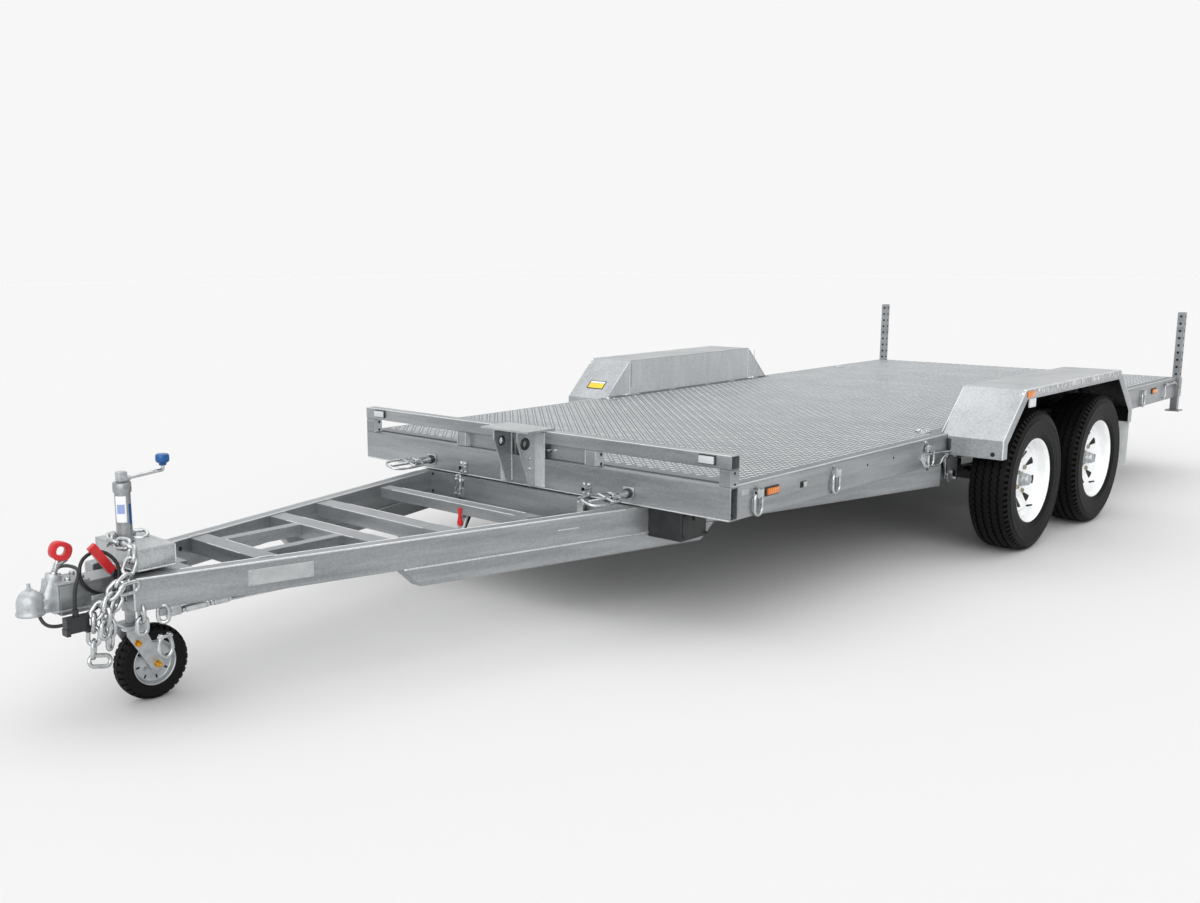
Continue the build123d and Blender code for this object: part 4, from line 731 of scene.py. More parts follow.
def eye_bolt(bm, place, direction, radius=10):
    """Round-headed bolt on a washer."""
    lathe(bm, [(0, 0), (radius * 1.3, 0), (radius * 1.3, 2), (radius, 2.5), (radius * 0.85, 6), (radius * 0.45, 8),
               (0, 8.5)], place, direction, 20)


def tube_sector(bm, centre, radius, low, high, first, last, thickness=0.6):
    """A label wrapped part of the way round an upright tube, between two angles in degrees."""
    centre = spot(centre)
    before = set(bm.verts)
    turn = Matrix.Rotation(math.radians(first), 3, "Z")
    outline = ((radius, low), (radius + thickness, low), (radius + thickness, high), (radius, high))
    verts = [bm.verts.new(centre + turn @ Vector((reach / 1000, 0, z / 1000))) for reach, z in outline]
    edges = [bm.edges.new(pair) for pair in zip(verts, verts[1:] + verts[:1])]
    bmesh.ops.spin(bm, geom=verts + edges, cent=centre, axis=UP, angle=math.radians(last - first),
                   steps=max(4, round((last - first) / 6)))
    made = [v for v in bm.verts if v not in before]
    rims = {e for v in made for e in v.link_edges if len(e.link_faces) == 1}
    bmesh.ops.holes_fill(bm, edges=list(rims), sides=4)
    bmesh.ops.recalc_face_normals(bm, faces=faces_of(made))


def plate(bm, outline, thickness, direction, bevel=1.5):
    """A flat plate of some thickness from its outline's corners."""
    face = bm.faces.new([bm.verts.new(spot(corner)) for corner in outline])
    moved = only(bmesh.types.BMVert, bmesh.ops.extrude_face_region(bm, geom=[face])["geom"])
    bmesh.ops.translate(bm, verts=moved, vec=Vector(direction).normalized() * thickness / 1000)
    verts = list(face.verts) + moved
    bmesh.ops.recalc_face_normals(bm, faces=faces_of(verts))
    if bevel:
        soften(bm, verts, bevel)


# ---- coupling, its handle and the handbrake -----------------------------------------------------
def build_coupling():
    """Cast ball housing: flanged skirt, domed head with its nipple, ribbed neck, slotted post and mounting plate."""
    dome = [(25.5, 0), (40.5, 0), (41.5, 2), (41.5, 7), (39.5, 10), (38, 14), (38.8, 26), (38, 38), (35, 50),
            (29.5, 61), (21.5, 69), (13, 72.5), (11, 73.5), (11, 76.5), (8.5, 78), (6, 78.5), (6, 85), (4.2, 86.2),
            (4.2, 88.5), (6, 89.5), (6, 92.5), (0, 93)]
    hollow = [(0, 50), (15, 46.5), (23, 36), (25.5, 24)]
    bm = bmesh.new()
    lathe(bm, hollow + dome, (2043, 0, 350), UP)
    rear = mm(1978, 0, 0).x
    # the neck narrows and drops towards the ball
    neck = block(bm, Vector((rear + 0.022, 0, 0.375)), (0.050, 0.052, 0.050))
    for v in neck:
        if v.co.x > rear + 0.03:
            v.co.y *= 0.86
            v.co.z -= 0.010 if v.co.z > 0.38 else 0
    soften(bm, neck, 7, segments=3)
    foot, top = mm(2000, 0, 362), mm(1966, 0, 456)
    lean = (top - foot).normalized()
    length = (top - foot).length * 1000
    lathe(bm, [(0, 0), (27, 0), (25.5, 12), (24, 30), (23.2, length - 14), (23.8, length - 7), (22.8, length),
               (13.5, length), (12.5, length - 10), (0, length - 10)], foot, lean, 48)
    cuboid(bm, (1884, -53, 351), (1996, 53, 357), 2)
    # two ribs stand on it, shorter along their upper edges
    for side in (1, -1):
        rib = block(bm, Vector((rear + 0.014, side * 0.011, 0.412)), (0.034, 0.006, 0.060))
        for v in rib:
            if v.co.z > 0.42:
                v.co.x -= 0.010 if v.co.x > rear + 0.014 else -0.004
        soften(bm, rib, 2)
    cuboid(bm, (1975, -50, 350), (1983, 50, 438), 3)
    cuboid(bm, (1880, -50, 430), (1977, 50, 438), 3)
    make("coupling_casting", bm, silver_cast, "drawbar", smooth=40, replaced=("coupling",))
    build("coupling_bolts", bright_zinc, "drawbar",
          [(bolt, (x, y, 438), UP, 15, 7, 10) for x in (1898, 1940) for y in (-30, 30)], 35)
    thread = [(6.2, -1.6), (9.5, -1.2), (10, 0), (9.5, 1.2), (6.2, 1.6)]
    flag = top + lean * 0.034
    build("coupling_plunger", bright_zinc, "drawbar", [
        (bar, top - lean * 0.008, top + lean * 0.006, 10.5, 24, 1),
        (bar, top, top + lean * 0.050, 6.2, 20, 1),
        *[(lathe, thread, top + lean * (0.010 + 0.005 * index), lean, 20, True) for index in range(5)],
        (cuboid, flag + Vector((-0.030, 0.004, -0.006)), flag + Vector((0.004, 0.008, 0.006)), 1.5,
         Matrix.Rotation(math.radians(25), 4, "Y"))], 35)
    bm = bmesh.new()
    rounded = [(16, -11.5), (17.5, -13.5), (30, -13.5), (32.2, -11)]
    bulge, blend, narrow = 3.2, 0.55, 0.86    # the ring is between a circle and a rounded square, and a little narrow
    turned = lathe(bm, rounded + [(32.8, 0)] + over(rounded) + [(15.2, 0)], ORIGIN, UP, 64, True)
    for v in turned:
        angle = math.atan2(v.co.y, v.co.x)
        square = (abs(math.cos(angle)) ** bulge + abs(math.sin(angle)) ** bulge) ** (-1 / bulge)
        v.co.x *= 1 + blend * (square - 1)
        v.co.y *= narrow * (1 + blend * (square - 1))
    upright = Matrix((Vector(OUT).cross(lean), lean, OUT)).transposed().to_4x4()
    bmesh.ops.transform(bm, matrix=Matrix.Translation(top + lean * 0.070) @ upright, verts=turned)
    bar(bm, top + lean * 0.040, top + lean * 0.052, 10, 24, 2)
    make("coupling_pull_ring", bm, red_vinyl, "drawbar", smooth=40, replaced=("coupling_handle",))


build_coupling()

# ---- jockey stand: clamp collar, cap, gear head, crank, faceted knob and blank labels -------------
STAND_X = 1737
STAND_TURNS = [Matrix.Rotation(math.radians(angle), 3, "Z") @ Vector(AHEAD) for angle in (30, 150, 270)]
build("jockey_collars", galvanised, "drawbar", [
    (lathe, [(24.1, 0), (42, 0), (43.2, 2), (43.2, 10), (40.5, 12), (34, 14), (33, 36), (31.8, 38), (24.1, 38)],
     (STAND_X, 0, 435), UP, 48, True),
    *[(bolt, mm(STAND_X, 0, 454) + out * 0.033, out, 11, 6, 7.5) for out in STAND_TURNS],
    (lathe, [(24.1, 0), (27.5, 1), (27.8, 4), (27.8, 26), (26.2, 29), (24.1, 30)], (STAND_X, 0, 667), UP, 48, True)],
    40)
build("jockey_gear_head", silver_cast, "drawbar", [
    (cuboid, (1722, -13, 697), (1752, 13, 730), 4),
    (bar, (1737, -19, 713), (1737, 19, 713), 7.5, 20, 1),
    (bar, (1729, 0, 705), (1711, 0, 707), 8.5, 20, 1)], 35, ("jockey_crank",))
bent_bar("jockey_crank_rod", [[(1723, 0, 706), (1677, 0, 710), (1619, 0, 715), (1599, 0, 716), (1598, 0, 722),
                               (1598, 0, 736)]], 5.5, bright_zinc, "drawbar")
knob = bmesh.new()
lathe(knob, [(0, -0.5), (11, -0.5), (12, 1), (12, 6), (19.5, 10), (21.5, 14), (21.8, 26), (20.5, 33), (16.5, 35.5),
             (0, 35.8)], (1598, 0, 731), UP, 12)
soften(knob, knob.verts, 1.2, angle=20)
make("jockey_crank_grip", knob, blue_nylon, "drawbar", smooth=25, replaced=("crank_knob",))
for name, finish, first, last, low, high, radius in (("white", label_white, 6, 84, 577, 657, 24.2),
                                                     ("panel", label_blue, 18, 72, 604, 632, 24.9),
                                                     ("strip", blue_nylon, 104, 128, 570, 632, 24.2)):
    build("jockey_label_" + name, finish, "drawbar",
          [(tube_sector, (STAND_X, 0, 0), radius, low, high, first, last)], 60)


# ---- jockey wheel -------------------------------------------------------------------------------
LUG_FROM, LUG_OUT = 0.1065, 0.0120    # least radius, and distance from the middle plane, of the tyre's lugs, metres
LUG_RIM, LUG_DEPTH = 0.0008, 0.0042


def build_jockey_wheel():
    """Pressed, slotted jockey wheel with a lugged tyre, its fork's bolts and the swivel's bearing."""
    hub = mm(1677, 0, 120)
    steps = 96
    side = [(70, -22.5), (73, -25.5), (80, -28.5), (89, -30), (98.5, -29.6), (100, -30), (104, -29.5), (106, -28),
            (112, -26.2), (116.5, -21.5)]
    tread = [(119, -12), (116.5, -10.5), (116.5, -6.5), (119.5, -5)]
    lining = [(70, 20), (90, 25), (108, 22)]
    bm = bmesh.new()
    lathe(bm, side + tread + over(tread) + over(side) + lining + [(110, 0)] + over(lining), ORIGIN, UP, steps, True)
    lugs = []
    for f in bm.faces:
        radius, height, turn = polar(f, steps)
        if radius > LUG_FROM and height > LUG_OUT and turn % 3 == 0:
            lugs.append(f)
    bmesh.ops.inset_region(bm, faces=lugs, thickness=LUG_RIM, depth=-LUG_DEPTH, use_even_offset=True)
    bmesh.ops.transform(bm, matrix=pointing(hub, OUT), verts=bm.verts)
    make("jockey_wheel_tyre", bm, tyre_rubber, "jockey_wheel", smooth=28, replaced=("jockey_tyre",))
    well = [(70.5, -28), (72.5, -27), (72.2, -24), (69, -21.5), (66, -12), (65.5, 12), (69, 21.5), (72.2, 24),
            (72.5, 27), (70.5, 28)]
    web = [(68, 26.2), (65.5, 20), (63.2, 13), (60, 10.5), (48, 9.5), (40, 12), (26, 15.5), (20, 28), (15, 29),
           (8.5, 29)]
    build("jockey_wheel_rim", silver_cast, "jockey_wheel", [(lathe, well + web + over(web), hub, OUT, 72, True)], 32,
          ("jockey_rim",))
    # the slots are thin dark blocks of painted shade on the closed wheel disc
    bm = bmesh.new()
    for index in range(8):
        turn = Matrix.Rotation(math.tau * index / 8 + 0.2, 3, "Y")
        for way in (1, -1):
            soften(bm, block(bm, hub + turn @ Vector((0.052, way * 0.0101, 0)), (0.013, 0.0016, 0.0060),
                             turn.to_4x4()), 0.7, segments=1)
    make("jockey_wheel_slots", bm, painted_shade_hollow, "jockey_wheel")
    rivets = [hub + Matrix.Rotation(math.tau * index / 4 + 0.5, 3, "Y") @ Vector((0.034, 0.0136, 0))
              for index in range(4)]
    build("jockey_wheel_rivets", bright_zinc, "jockey_wheel", [(eye_bolt, rivet, OUT, 4.5) for rivet in rivets], 35)
    cheek = ((1771, 250), (1771, 228), (1698, 108), (1687, 100), (1672, 98), (1660, 105), (1656, 118), (1659, 130),
             (1703, 222), (1703, 250))
    build("jockey_fork_plates", silver_cast, "jockey_caster", [
        *[(plate, [(x, y, z) for x, z in cheek], 6, OUT) for y in (36, -42)],
        (cuboid, (1703, -42, 248), (1771, 42, 258), 4)], 35, ("jockey_fork",))
    rows = [(bar, (1677, -44, 120), (1677, 44, 120), 6.6, 24)]
    for x, z, across in ((1738, 200, 15), (1677, 120, 18)):
        rows += both((bolt, (x, 42, z), OUT, across, 10, 11, 10))
        rows += [(bolt, (x, 36, z), (0, -1, 0), across, 4, 10.5), (bar, (x, -44, z), (x, -34, z), 6, 24),
                 (bar, (x, 30, z), (x, 44, z), 6, 24)]
    build("jockey_fork_bolts", yellow_zinc, "jockey_caster", rows, 35, ("jockey_axle",))
    build("jockey_bearing", bright_zinc, "jockey_caster", [
        (lathe, [(10.2, 0), (29, 0), (30.5, 3), (30.5, 8), (27.5, 11), (20, 12.5), (10.2, 12.5)], (STAND_X, 0, 236),
         UP, 40, True)], 35)


build_jockey_wheel()


# ---- stand box: welded plate on the nose plate, open below, with a hole in its top for the tube ----
def lid(bm, corners, centre, radius, thickness, steps=40):
    """A flat lid with a round hole, from its corners on its under side."""
    outer = [bm.verts.new(mm(*corner)) for corner in corners]
    height = corners[0][2]
    hole = [bm.verts.new(mm(centre + radius * math.cos(math.tau * n / steps),
                            radius * math.sin(math.tau * n / steps), height)) for n in range(steps)]
    rings = [bm.edges.new((line[n - 1], line[n])) for line in (outer, hole) for n in range(len(line))]
    filled = bmesh.ops.triangle_fill(bm, use_beauty=True, use_dissolve=False, edges=rings)["geom"]
    grown = bmesh.ops.extrude_face_region(bm, geom=only(bmesh.types.BMFace, filled))["geom"]
    bmesh.ops.translate(bm, vec=(0, 0, thickness / 1000), verts=only(bmesh.types.BMVert, grown))
    bmesh.ops.recalc_face_normals(bm, faces=bm.faces)


build("stand_box", bracket_zinc, "drawbar", [
    (cuboid, (1640, -125, 447), (1645, 125, 508), 1.2), (cuboid, (1767, -125, 447), (1772, 125, 508), 1.2),
    *both((cuboid, (1645.2, 120, 447), (1766.8, 125, 508), 1.2)),
    (lid, ((1640, -125, 508), (1772, -125, 508), (1772, 125, 508), (1640, 125, 508)), STAND_X, 27, 5)], 30)
build("stand_box_welds", weld_and_highlight_zinc, "drawbar", [
    *both((bead, (1641, 124, 449), (1641, 124, 510), 3), (bead, (1771, 124, 449), (1771, 124, 510), 2.6),
          (bead, (1642, 125, 448), (1770, 125, 448), 3.4)),
    (bead, (1772, -123, 448), (1772, 123, 448), 3.4)], 60)

# ---- safety chains: a doubled bunch off the left beam's nose, a length round the stand, a shackle strand ----
build("safety_chain_links", bright_zinc, "drawbar", [
    (chain_run, [(1822, 146, 425), (1846, 138, 385), (1868, 130, 340), (1872, 128, 212)], 0.45),
    (chain_run, [(1838, 152, 430), (1884, 142, 388), (1914, 130, 345), (1924, 128, 218)], 2.0),
    (link, (1906, 130, 208), (1, 0, 0.22), 1.75, 0.014),
    (chain_run, [(1812, 152, 446), (1848, 152, 424), (1884, 152, 386), (1898, 150, 250)], 1.2),
    (link, (1816, 160, 414), (1, 0.1, -0.05), 1.2, 0.012, 0.006),
    (chain_run, [(1806, 136, 455), (1794, 132, 466), (1782, 124, 496), (1774, 112, 518), (1762, 82, 521),
                 (1774, 50, 521), (1786, 14, 521), (1782, -24, 521), (1756, -52, 521), (1720, -56, 521),
                 (1688, -38, 521), (1664, -22, 521), (1622, -26, 517)], 0.6),
    (chain_run, [(1716, 168, 336), (1716, 168, 262)], 0.5),
    (chain_run, [(1776, 150, 346), (1776, 148, 262)], 1.6)], 60, ("safety_chains",))
build("chain_lugs", galvanised, "drawbar", [
    (cuboid, (1798, 118, 385), (1812, 136, 425), 2), (cuboid, (1812, 117, 389), (1914, 123, 403), 2),
    (cuboid, (1702, 163, 312), (1730, 173, 335), 2)])
bent_bar("chain_shackle_bow", [[(1702, 169, 246), (1694, 169, 222), (1694, 169, 196), (1716, 169, 176),
                                (1738, 169, 196), (1738, 169, 222), (1730, 169, 246)]], 6.5, bright_zinc, "drawbar")
build("chain_shackle_pin", bright_zinc, "drawbar", [
    (bar, (1692, 169, 246), (1740, 169, 246), 5.5, 20, 1),
    *[(lathe, [(5, -4), (10, -4), (10.8, 0), (10, 4), (5, 4)], (x, 169, 246), AHEAD, 24, True)
      for x in (1702, 1730)]], 40)


# ---- drawbar fittings ---------------------------------------------------------------------------
def beam_face(x, z, out=0.0):
    """A place on the outer face of the left A-frame beam, or so far out from it."""
    return (x, 153 + (1798 - x) * BEAM_SLOPE + out, z)


ACROSS = (BEAM_SLOPE, 1, 0)


def build_data_plate():
    """Blank plate flat on the left beam's outer face."""
    front, rear = mm(*beam_face(1462, 387)), mm(*beam_face(1252, 387))
    turn = Matrix(((rear - front).normalized(), Vector(ACROSS).normalized(), UP)).transposed().to_4x4()
    bm = bmesh.new()
    soften(bm, block(bm, (front + rear) / 2, ((rear - front).length, 0.0024, 0.050), turn), 0.6, segments=1)
    make("beam_data_plate", bm, plate_metal, "drawbar")


build_data_plate()
build("beam_plate_rivets", bright_zinc, "drawbar",
      [(eye_bolt, beam_face(x, z, 1.2), ACROSS, 3) for x in (1262, 1452) for z in (369, 405)], 40)
# dark discs of painted shade in the drawbar's bolt holes
build("drawbar_bolt_holes", painted_shade_hollow, "drawbar", both(
    *[(bore, place, AHEAD, 7) for place in ((20, 524, 423), (20, 526, 348))],
    *[(bore, beam_face(x, z, -51.6), (-BEAM_SLOPE, -1, 0), 8) for x, z in ((1447, 405), (928, 398))]))
build("drawbar_welds", weld_and_highlight_zinc, "drawbar", [
    *both((bead, beam_face(1797, 338, -2), beam_face(1797, 432, -2), 3.5),
          (bead, beam_face(945, 335, 0.5), beam_face(-350, 335, 0.5), 4.2, 14),
          (bead, beam_face(352, 392, 0.5), beam_face(262, 392, 0.5), 2.6),
          (bead, beam_face(1400, 436, -48), beam_face(1352, 436, -48), 3)),
    *[row for y in (-49, 49) for row in ((bead, (1764, y, 437), (1604, y, 437), 3),
                                         (bead, (1770, y * 1.02, 345), (1770, y * 1.02, 428), 3.5))]], 60)
inner = beam_face(70, 0, -54)[1]
build("crossbeam_flange", galvanised, "drawbar", [
    (plate, [(20.5, 1 - inner, 335.5), (118, 25 - inner, 335.5), (118, inner - 25, 335.5), (20.5, inner - 1, 335.5)],
     6, UP, 1)], 40)
build("hanging_pull", red_vinyl, "drawbar", [
    (lathe, [(0, 0), (8.5, 0), (9, 3), (7.5, 8), (7, 36), (9.5, 46), (11.2, 56), (11.2, 64), (8, 68), (0, 69)],
     (404, 58, 416), DOWN, 24)], 40)
rows = [(bolt, (1636, 63, 280), OUT, 16, 8, 11, 4)]
for x0, x1 in ((1505, 1580), (1425, 1478)):
    rows += [(bar, (x - 5, 50, 277), (x + 5, 50, 277), 11.5, 6, 1) for x in (x0 - 6, x1 + 6)]
    rows += [(cuboid, (x0, y, 268), (x1, y + 4, 286), 1.5) for y in (39, 57)]
rows += [(cuboid, (1596, y - 2.5, 266), (1650, y + 2.5, 336), 2) for y in (39, 61)]
build("brake_turnbuckles", bright_zinc, "drawbar", rows, 35, ("brake_rod",))
bent_bar("brake_pull_rod", [[(1640, 50, 277), (1420, 50, 275), (1040, 50, 264), (880, 50, 270), (700, 50, 300),
                             (330, 50, 300)]], 5.5, bright_zinc, "drawbar")
build("battery_box_lid", black_abs, "drawbar", [
    (cuboid, (-193, 762, 330), (-48, 765, 420), 2),
    *[(eye_bolt, (x, 765, z), OUT, 4) for x in (-190, -52) for z in (334, 416)],
    (cuboid, (-128, 764, 392), (-112, 772, 424), 2)], 40)

# ---- over-centre toggle latches: hook plate above, lever frame, spring arms and lower block ---------
for index, y in enumerate((345, -345)):
    rows = [(cuboid, (0, y - 19, 444), (4, y + 19, 498), 2), (cuboid, (4, y - 9, 470), (26, y + 9, 477), 2),
            (cuboid, (20, y - 9, 464), (26, y + 9, 482), 2)]
    rows += [(eye_bolt, (4, y + dy, z), AHEAD, radius) for dy in (-11, 11) for z, radius in ((488, 6.5), (453, 5.5))]
    build(f"latch_hook_{index}", bright_zinc, "deck", rows, 40)
    rows = [(cuboid, (20, y - 22, 345), (24, y + 22, 429), 2), (bar, (37, y - 17, 378), (37, y + 17, 378), 5.2, 20, 1),
            (cuboid, (30, y - 9, 352), (42, y + 9, 404), 3)]
    for dy in (-13, 13):
        rows += [(cuboid, (24, y + dy - 4, 350), (46, y + dy + 4, 388), 2),
                 (bar, (38, y + dy, 378), (38, y + dy, 428), 6.2, 20, 1),
                 (eye_bolt, (24, y + dy * 1.3, 421), AHEAD, 4.8), (bolt, (44, y + dy, 362), AHEAD, 10, 5, 7)]
    build(f"latch_lever_{index}", bright_zinc, "drawbar", rows, 40)
    bent_bar(f"latch_bail_{index}", [[(37, y - 13, 426), (37, y - 13, 440), (33, y - 9, 442), (33, y + 9, 442),
                                      (37, y + 13, 440), (37, y + 13, 426)]], 3.5, bright_zinc, "drawbar")

# ---- headboard: bolt mouths of painted shade, tube caps, bright plates of painted light, infill plate and the winch bracket's fixings ------
POSTS = (-950, -335, 385)    # sides of the posts that carry a bright plate of painted light; the same again mirrored
# dark discs of painted shade in the headboard's, rails' and fender's bolt holes
build("deck_bolt_holes", painted_shade_hollow, "deck", both(
    *[(bore, (-32, y + 1.5, z), OUT, 6.2) for y in POSTS for z in (605, 569)],
    *[(bore, (x, 1000, z), OUT, 5.5)
      for x, z in ((-22, 610), (-24, 569), (-11, 461), (-9, 545), (-960, 517), (-1177, 519))],
    (bore, (-1670, 1205, 494), AHEAD, 10)))
build("headboard_tube_caps", black_abs, "deck", both((cuboid, (-45.5, 984, 626.5), (-4.5, 1002, 667.5), 2.5)), 40)
build("headboard_infill_right", galvanised, "deck", [(cuboid, (-30, -334.5, 560.5), (-24, -69.5, 621.5), 1)])
# bright plates of painted light on the posts' sides and on the front face beside the winch bracket
build("headboard_painted_light_plates", painted_light_zinc, "deck", both(
    *[(cuboid, (-47, y, 561), (-3, y + 1.5, 621), 0.5) for y in POSTS], (cuboid, (0, 69.5, 446), (4, 124, 666), 1)))
build("winch_bracket_grommets", black_abs, "deck", [
    (lathe, [(15, 0), (23.5, 0), (25, 1.5), (25, 10), (23.5, 11.8), (15, 11.8)], (58, y, 622), OUT, 40, True)
    for y in (-73, 61)], 40)
build("headboard_fixings", bright_zinc, "deck", [
    *[(eye_bolt, (4, y, 606), AHEAD, 10) for y in (-106, -84)],
    *[(eye_bolt, (34, 69, z), OUT, 5.5) for z in (561, 520)],
    (cuboid, (-24, 108, 589), (-20, 168, 603), 1.5), (cuboid, (-8, 112, 592), (-4, 144, 600), 1.5),
    (bar, (-22, 128, 596), (-4, 128, 596), 4.5, 16, 1)], 40)
build("headboard_welds", weld_and_highlight_zinc, "deck", [
    *[row for y in (-69.5, -60.5, 60.5, 69.5) for row in ((bead, (2, y, 670), (98, y, 670), 3),
                                                          (bead, (1, y, 655), (1, y, 452), 3.2))],
    *both((bead, (-49, 949, 563), (-3, 949, 563), 2.8),
          *[(bead, (1, y, 563), (1, y, 620), 2.2) for y in (335, 385)])], 60)

# ---- locking pins through the deck's front beam, each with a flat looped pull ---------------------
PIN_SIDES = (550, -550)
PULL = ((72, -14), (76, -36), (140, -42), (214, -41), (246, -22), (246, 22), (214, 41), (140, 42), (76, 36), (72, 14))
build("locking_pin_tubes", bright_zinc, "deck", [row for y in PIN_SIDES for row in (
    (lathe, [(8.5, 4), (15, 4), (15, 103), (13.8, 106), (8.5, 106)], (0, y, 482), AHEAD, 36, True),
    (bar, (20, y, 482), (232, y, 482), 6.2, 20, 1), (bar, (131, y - 40, 493), (131, y + 40, 471), 5, 16, 1),
    (cuboid, (0, y - 26, 458), (4, y + 26, 506), 2))], 40, ("locking_pins",))
build("locking_pin_rings", black_abs, "deck", [
    (lathe, [(15.2, 5), (19, 5), (19.5, 7), (19, 17), (15.2, 18)], (0, y, 482), AHEAD, 32, True)
    for y in PIN_SIDES], 40)
bent_bar("locking_pin_pulls", [[(x, y + dy, 482 - 0.28 * dy) for x, dy in PULL] for y in PIN_SIDES], 5.2,
         bright_zinc, "deck")

# ---- lamps, each a lens on its base -------------------------------------------------------------
MARKERS = (-258, -4460)
for name, finish, rows, replaced in (
        ("marker_bases", black_abs, [(cuboid, (0, 864, 633), (4, 936, 667), 2),
                                     *[(cuboid, (x - 44, 1000, 499), (x + 44, 1005, 533), 2) for x in MARKERS]],
         "marker_lamps"),
        ("front_marker_lenses", clear, [(cuboid, (4, 867, 636), (11.5, 933, 664), 3.5)], "marker_lamps"),
        ("side_marker_lenses", amber, [(cuboid, (x - 39, 1004, 504), (x + 39, 1011.5, 528), 3.5) for x in MARKERS],
         "marker_lamps"),
        ("tail_lamp_bases", black_abs, [(cuboid, (-4887, 630, 457), (-4880, 910, 545), 3)], "tail_lamps"),
        ("tail_lens_red", red_lens, [(cuboid, (-4907, 636, 463), (-4886, 740, 539), 6)], "tail_lamps"),
        ("tail_lens_amber", amber, [(cuboid, (-4907, 743, 463), (-4886, 822, 539), 6)], "tail_lamps"),
        ("tail_lens_clear", clear, [(cuboid, (-4907, 825, 463), (-4886, 904, 539), 6)], "tail_lamps")):
    build(name, finish, "deck", both(*rows), 40, (replaced,))

# ---- fine bright lines along the long outer corners and top edges: painted highlight; rail lugs ----
LADDER_MEMBERS = ((1400, 75), (1020, 75), (766, 80), (402, 60))    # front face and width
rows = both((bar, beam_face(1790, 433, -1.5), beam_face(60, 433, -1.5), 3.4, 12),
            (bar, beam_face(1640, 433.5, -48.5), beam_face(60, 433.5, -48.5), 2.8, 12))
for front, width in LADDER_MEMBERS:
    half = beam_face(front, 0, -152.9)[1]    # ends well short of the beams
    rows += [(bar, (x, -half, 430), (x, half, 430), 2.2, 12) for x in (front - 2, front - width + 2)]
build("drawbar_highlight_lines", weld_and_highlight_zinc, "drawbar", rows, 60)
build("deck_highlight_lines", weld_and_highlight_zinc, "deck", [
    *both(*[(bar, (x0, 998.5, 563.5), (x1, 998.5, 563.5), 3, 12) for x0, x1 in ((-8, -1660), (-3290, -4870))]),
    *[(bar, (-1.5, -995, z), (-1.5, 995, z), radius, 12) for z, radius in ((441.8, 3), (670.5, 2.4))]], 60)
# dark plates of painted shade in the rail sockets' mouths
build("rail_socket_mouth_shade", painted_shade_hollow, "deck", both((cuboid, (-492, 999.5, 496), (-452, 1000.6, 520), 0)))
build("rail_lugs", bright_zinc, "deck", both(
    (cuboid, (-494, 999, 497), (-470, 1006, 519), 2),
    *[row for x in (-157, -696, -1468) for row in ((bolt, (x, 1004, 520), OUT, 34, 10, 20, 4),
                                                   (bar, (x - 11, 1000, 549), (x + 11, 1000, 549), 4.5, 16, 1))]), 35)

# ---- fenders: painted shade inside, seams, painted light on the inner wall and the rolled edge, lamp, labels and the flap's bolts ----
FENDER_X = -2476    # a fender's middle


def arch(y, *rear_half):
    """Places along a fender's outline, front then back, from half of it as (distance from the middle, z)."""
    line = [*rear_half, *[(-dx, z) for dx, z in rear_half[::-1]]]
    return [(FENDER_X + dx, y, z) for dx, z in line]


def build_shade_liner(side, name):
    """Black sheet of painted shade inside the shell and on the inner wall."""
    bm = bmesh.new()
    verts = [bm.verts.new(mm(*place)) for place in
             arch(side * 1003, (801.8, 475), (801.8, 554), (592.2, 755.8))]
    run = bmesh.ops.extrude_edge_only(bm, edges=[bm.edges.new(pair) for pair in zip(verts, verts[1:])])["geom"]
    bmesh.ops.translate(bm, verts=only(bmesh.types.BMVert, run), vec=(0, side * 0.2425, 0))
    bmesh.ops.recalc_face_normals(bm, faces=bm.faces)
    bmesh.ops.solidify(bm, geom=bm.faces, thickness=0.001)
    plate(bm, arch(side * 974.3, (800, 564), (792, 572), (591, 754.5)), 1, (0, side, 0), 0)
    make(f"fender_painted_shade_liner_{name}", bm, shade_liner, "deck", smooth=30)


for side, name in ((1, "left"), (-1, "right")):
    build_shade_liner(side, name)
    rows = []
    for x in (-1926, -3140):
        rows += [(bead, (x, 969.5, 566), (x, 969.5, 754), 2.2, 10), (bead, (x - 45, 969, 565), (x + 45, 969, 565), 3.5)]
    rows += [(bead, (x - 25, 969, 565), (x + 25, 969, 565), 3) for x in (-2280, -2640, -2900)]
    build(f"fender_welds_{name}", weld_and_highlight_zinc, "deck", on(side, rows), 60)
    # bright plate over the inner wall: painted light on a face that lies in shade
    build(f"fender_inner_painted_light_{name}", painted_light_zinc, "deck",
          on(side, [(plate, arch(969.8, (-789, 571), (-592, 757)), 1, (0, -1, 0), 0)]))
    # broad bright beads on the inner wall's seams and sloped edges: welds, and painted highlight along the edges
    rows = []
    for away in (1, -1):
        run = [FENDER_X + away * dx for dx in (594, 600, 655, 796, 596)]
        rows += [(bead, (run[0], 969, 750), (run[0], 969, 570), 5), (bead, (run[1], 968, 569), (run[2], 968, 569), 6.5),
                 (bead, (run[3], 969.5, 566), (run[4], 969.5, 756), 3.4)]
    build(f"fender_inner_welds_{name}", weld_and_highlight_zinc, "deck", on(side, rows), 60)
    # dark strip of painted shadow in the gap at the inner wall's front seam
    build(f"fender_inner_gap_shadow_{name}", painted_shade_hollow, "deck",
          on(side, [(cuboid, (-1892, 969.6, 612), (-1887, 968.4, 742), 0)]))
    # bright bar along the fender's outer edge: painted highlight on the rolled edge
    bent_bar(f"fender_rolled_edge_{name}", [arch(side * 1247.5, (805, 476), (805, 555), (593.5, 758.5))], 3.2,
             painted_light_zinc, "deck", smooth_line=False)
    build(f"flap_bolts_{name}", bright_zinc, "deck",
          on(side, [(eye_bolt, (-3288, y, 512), BACK, 7) for y in (1090, 1150, 1210)]), 40)
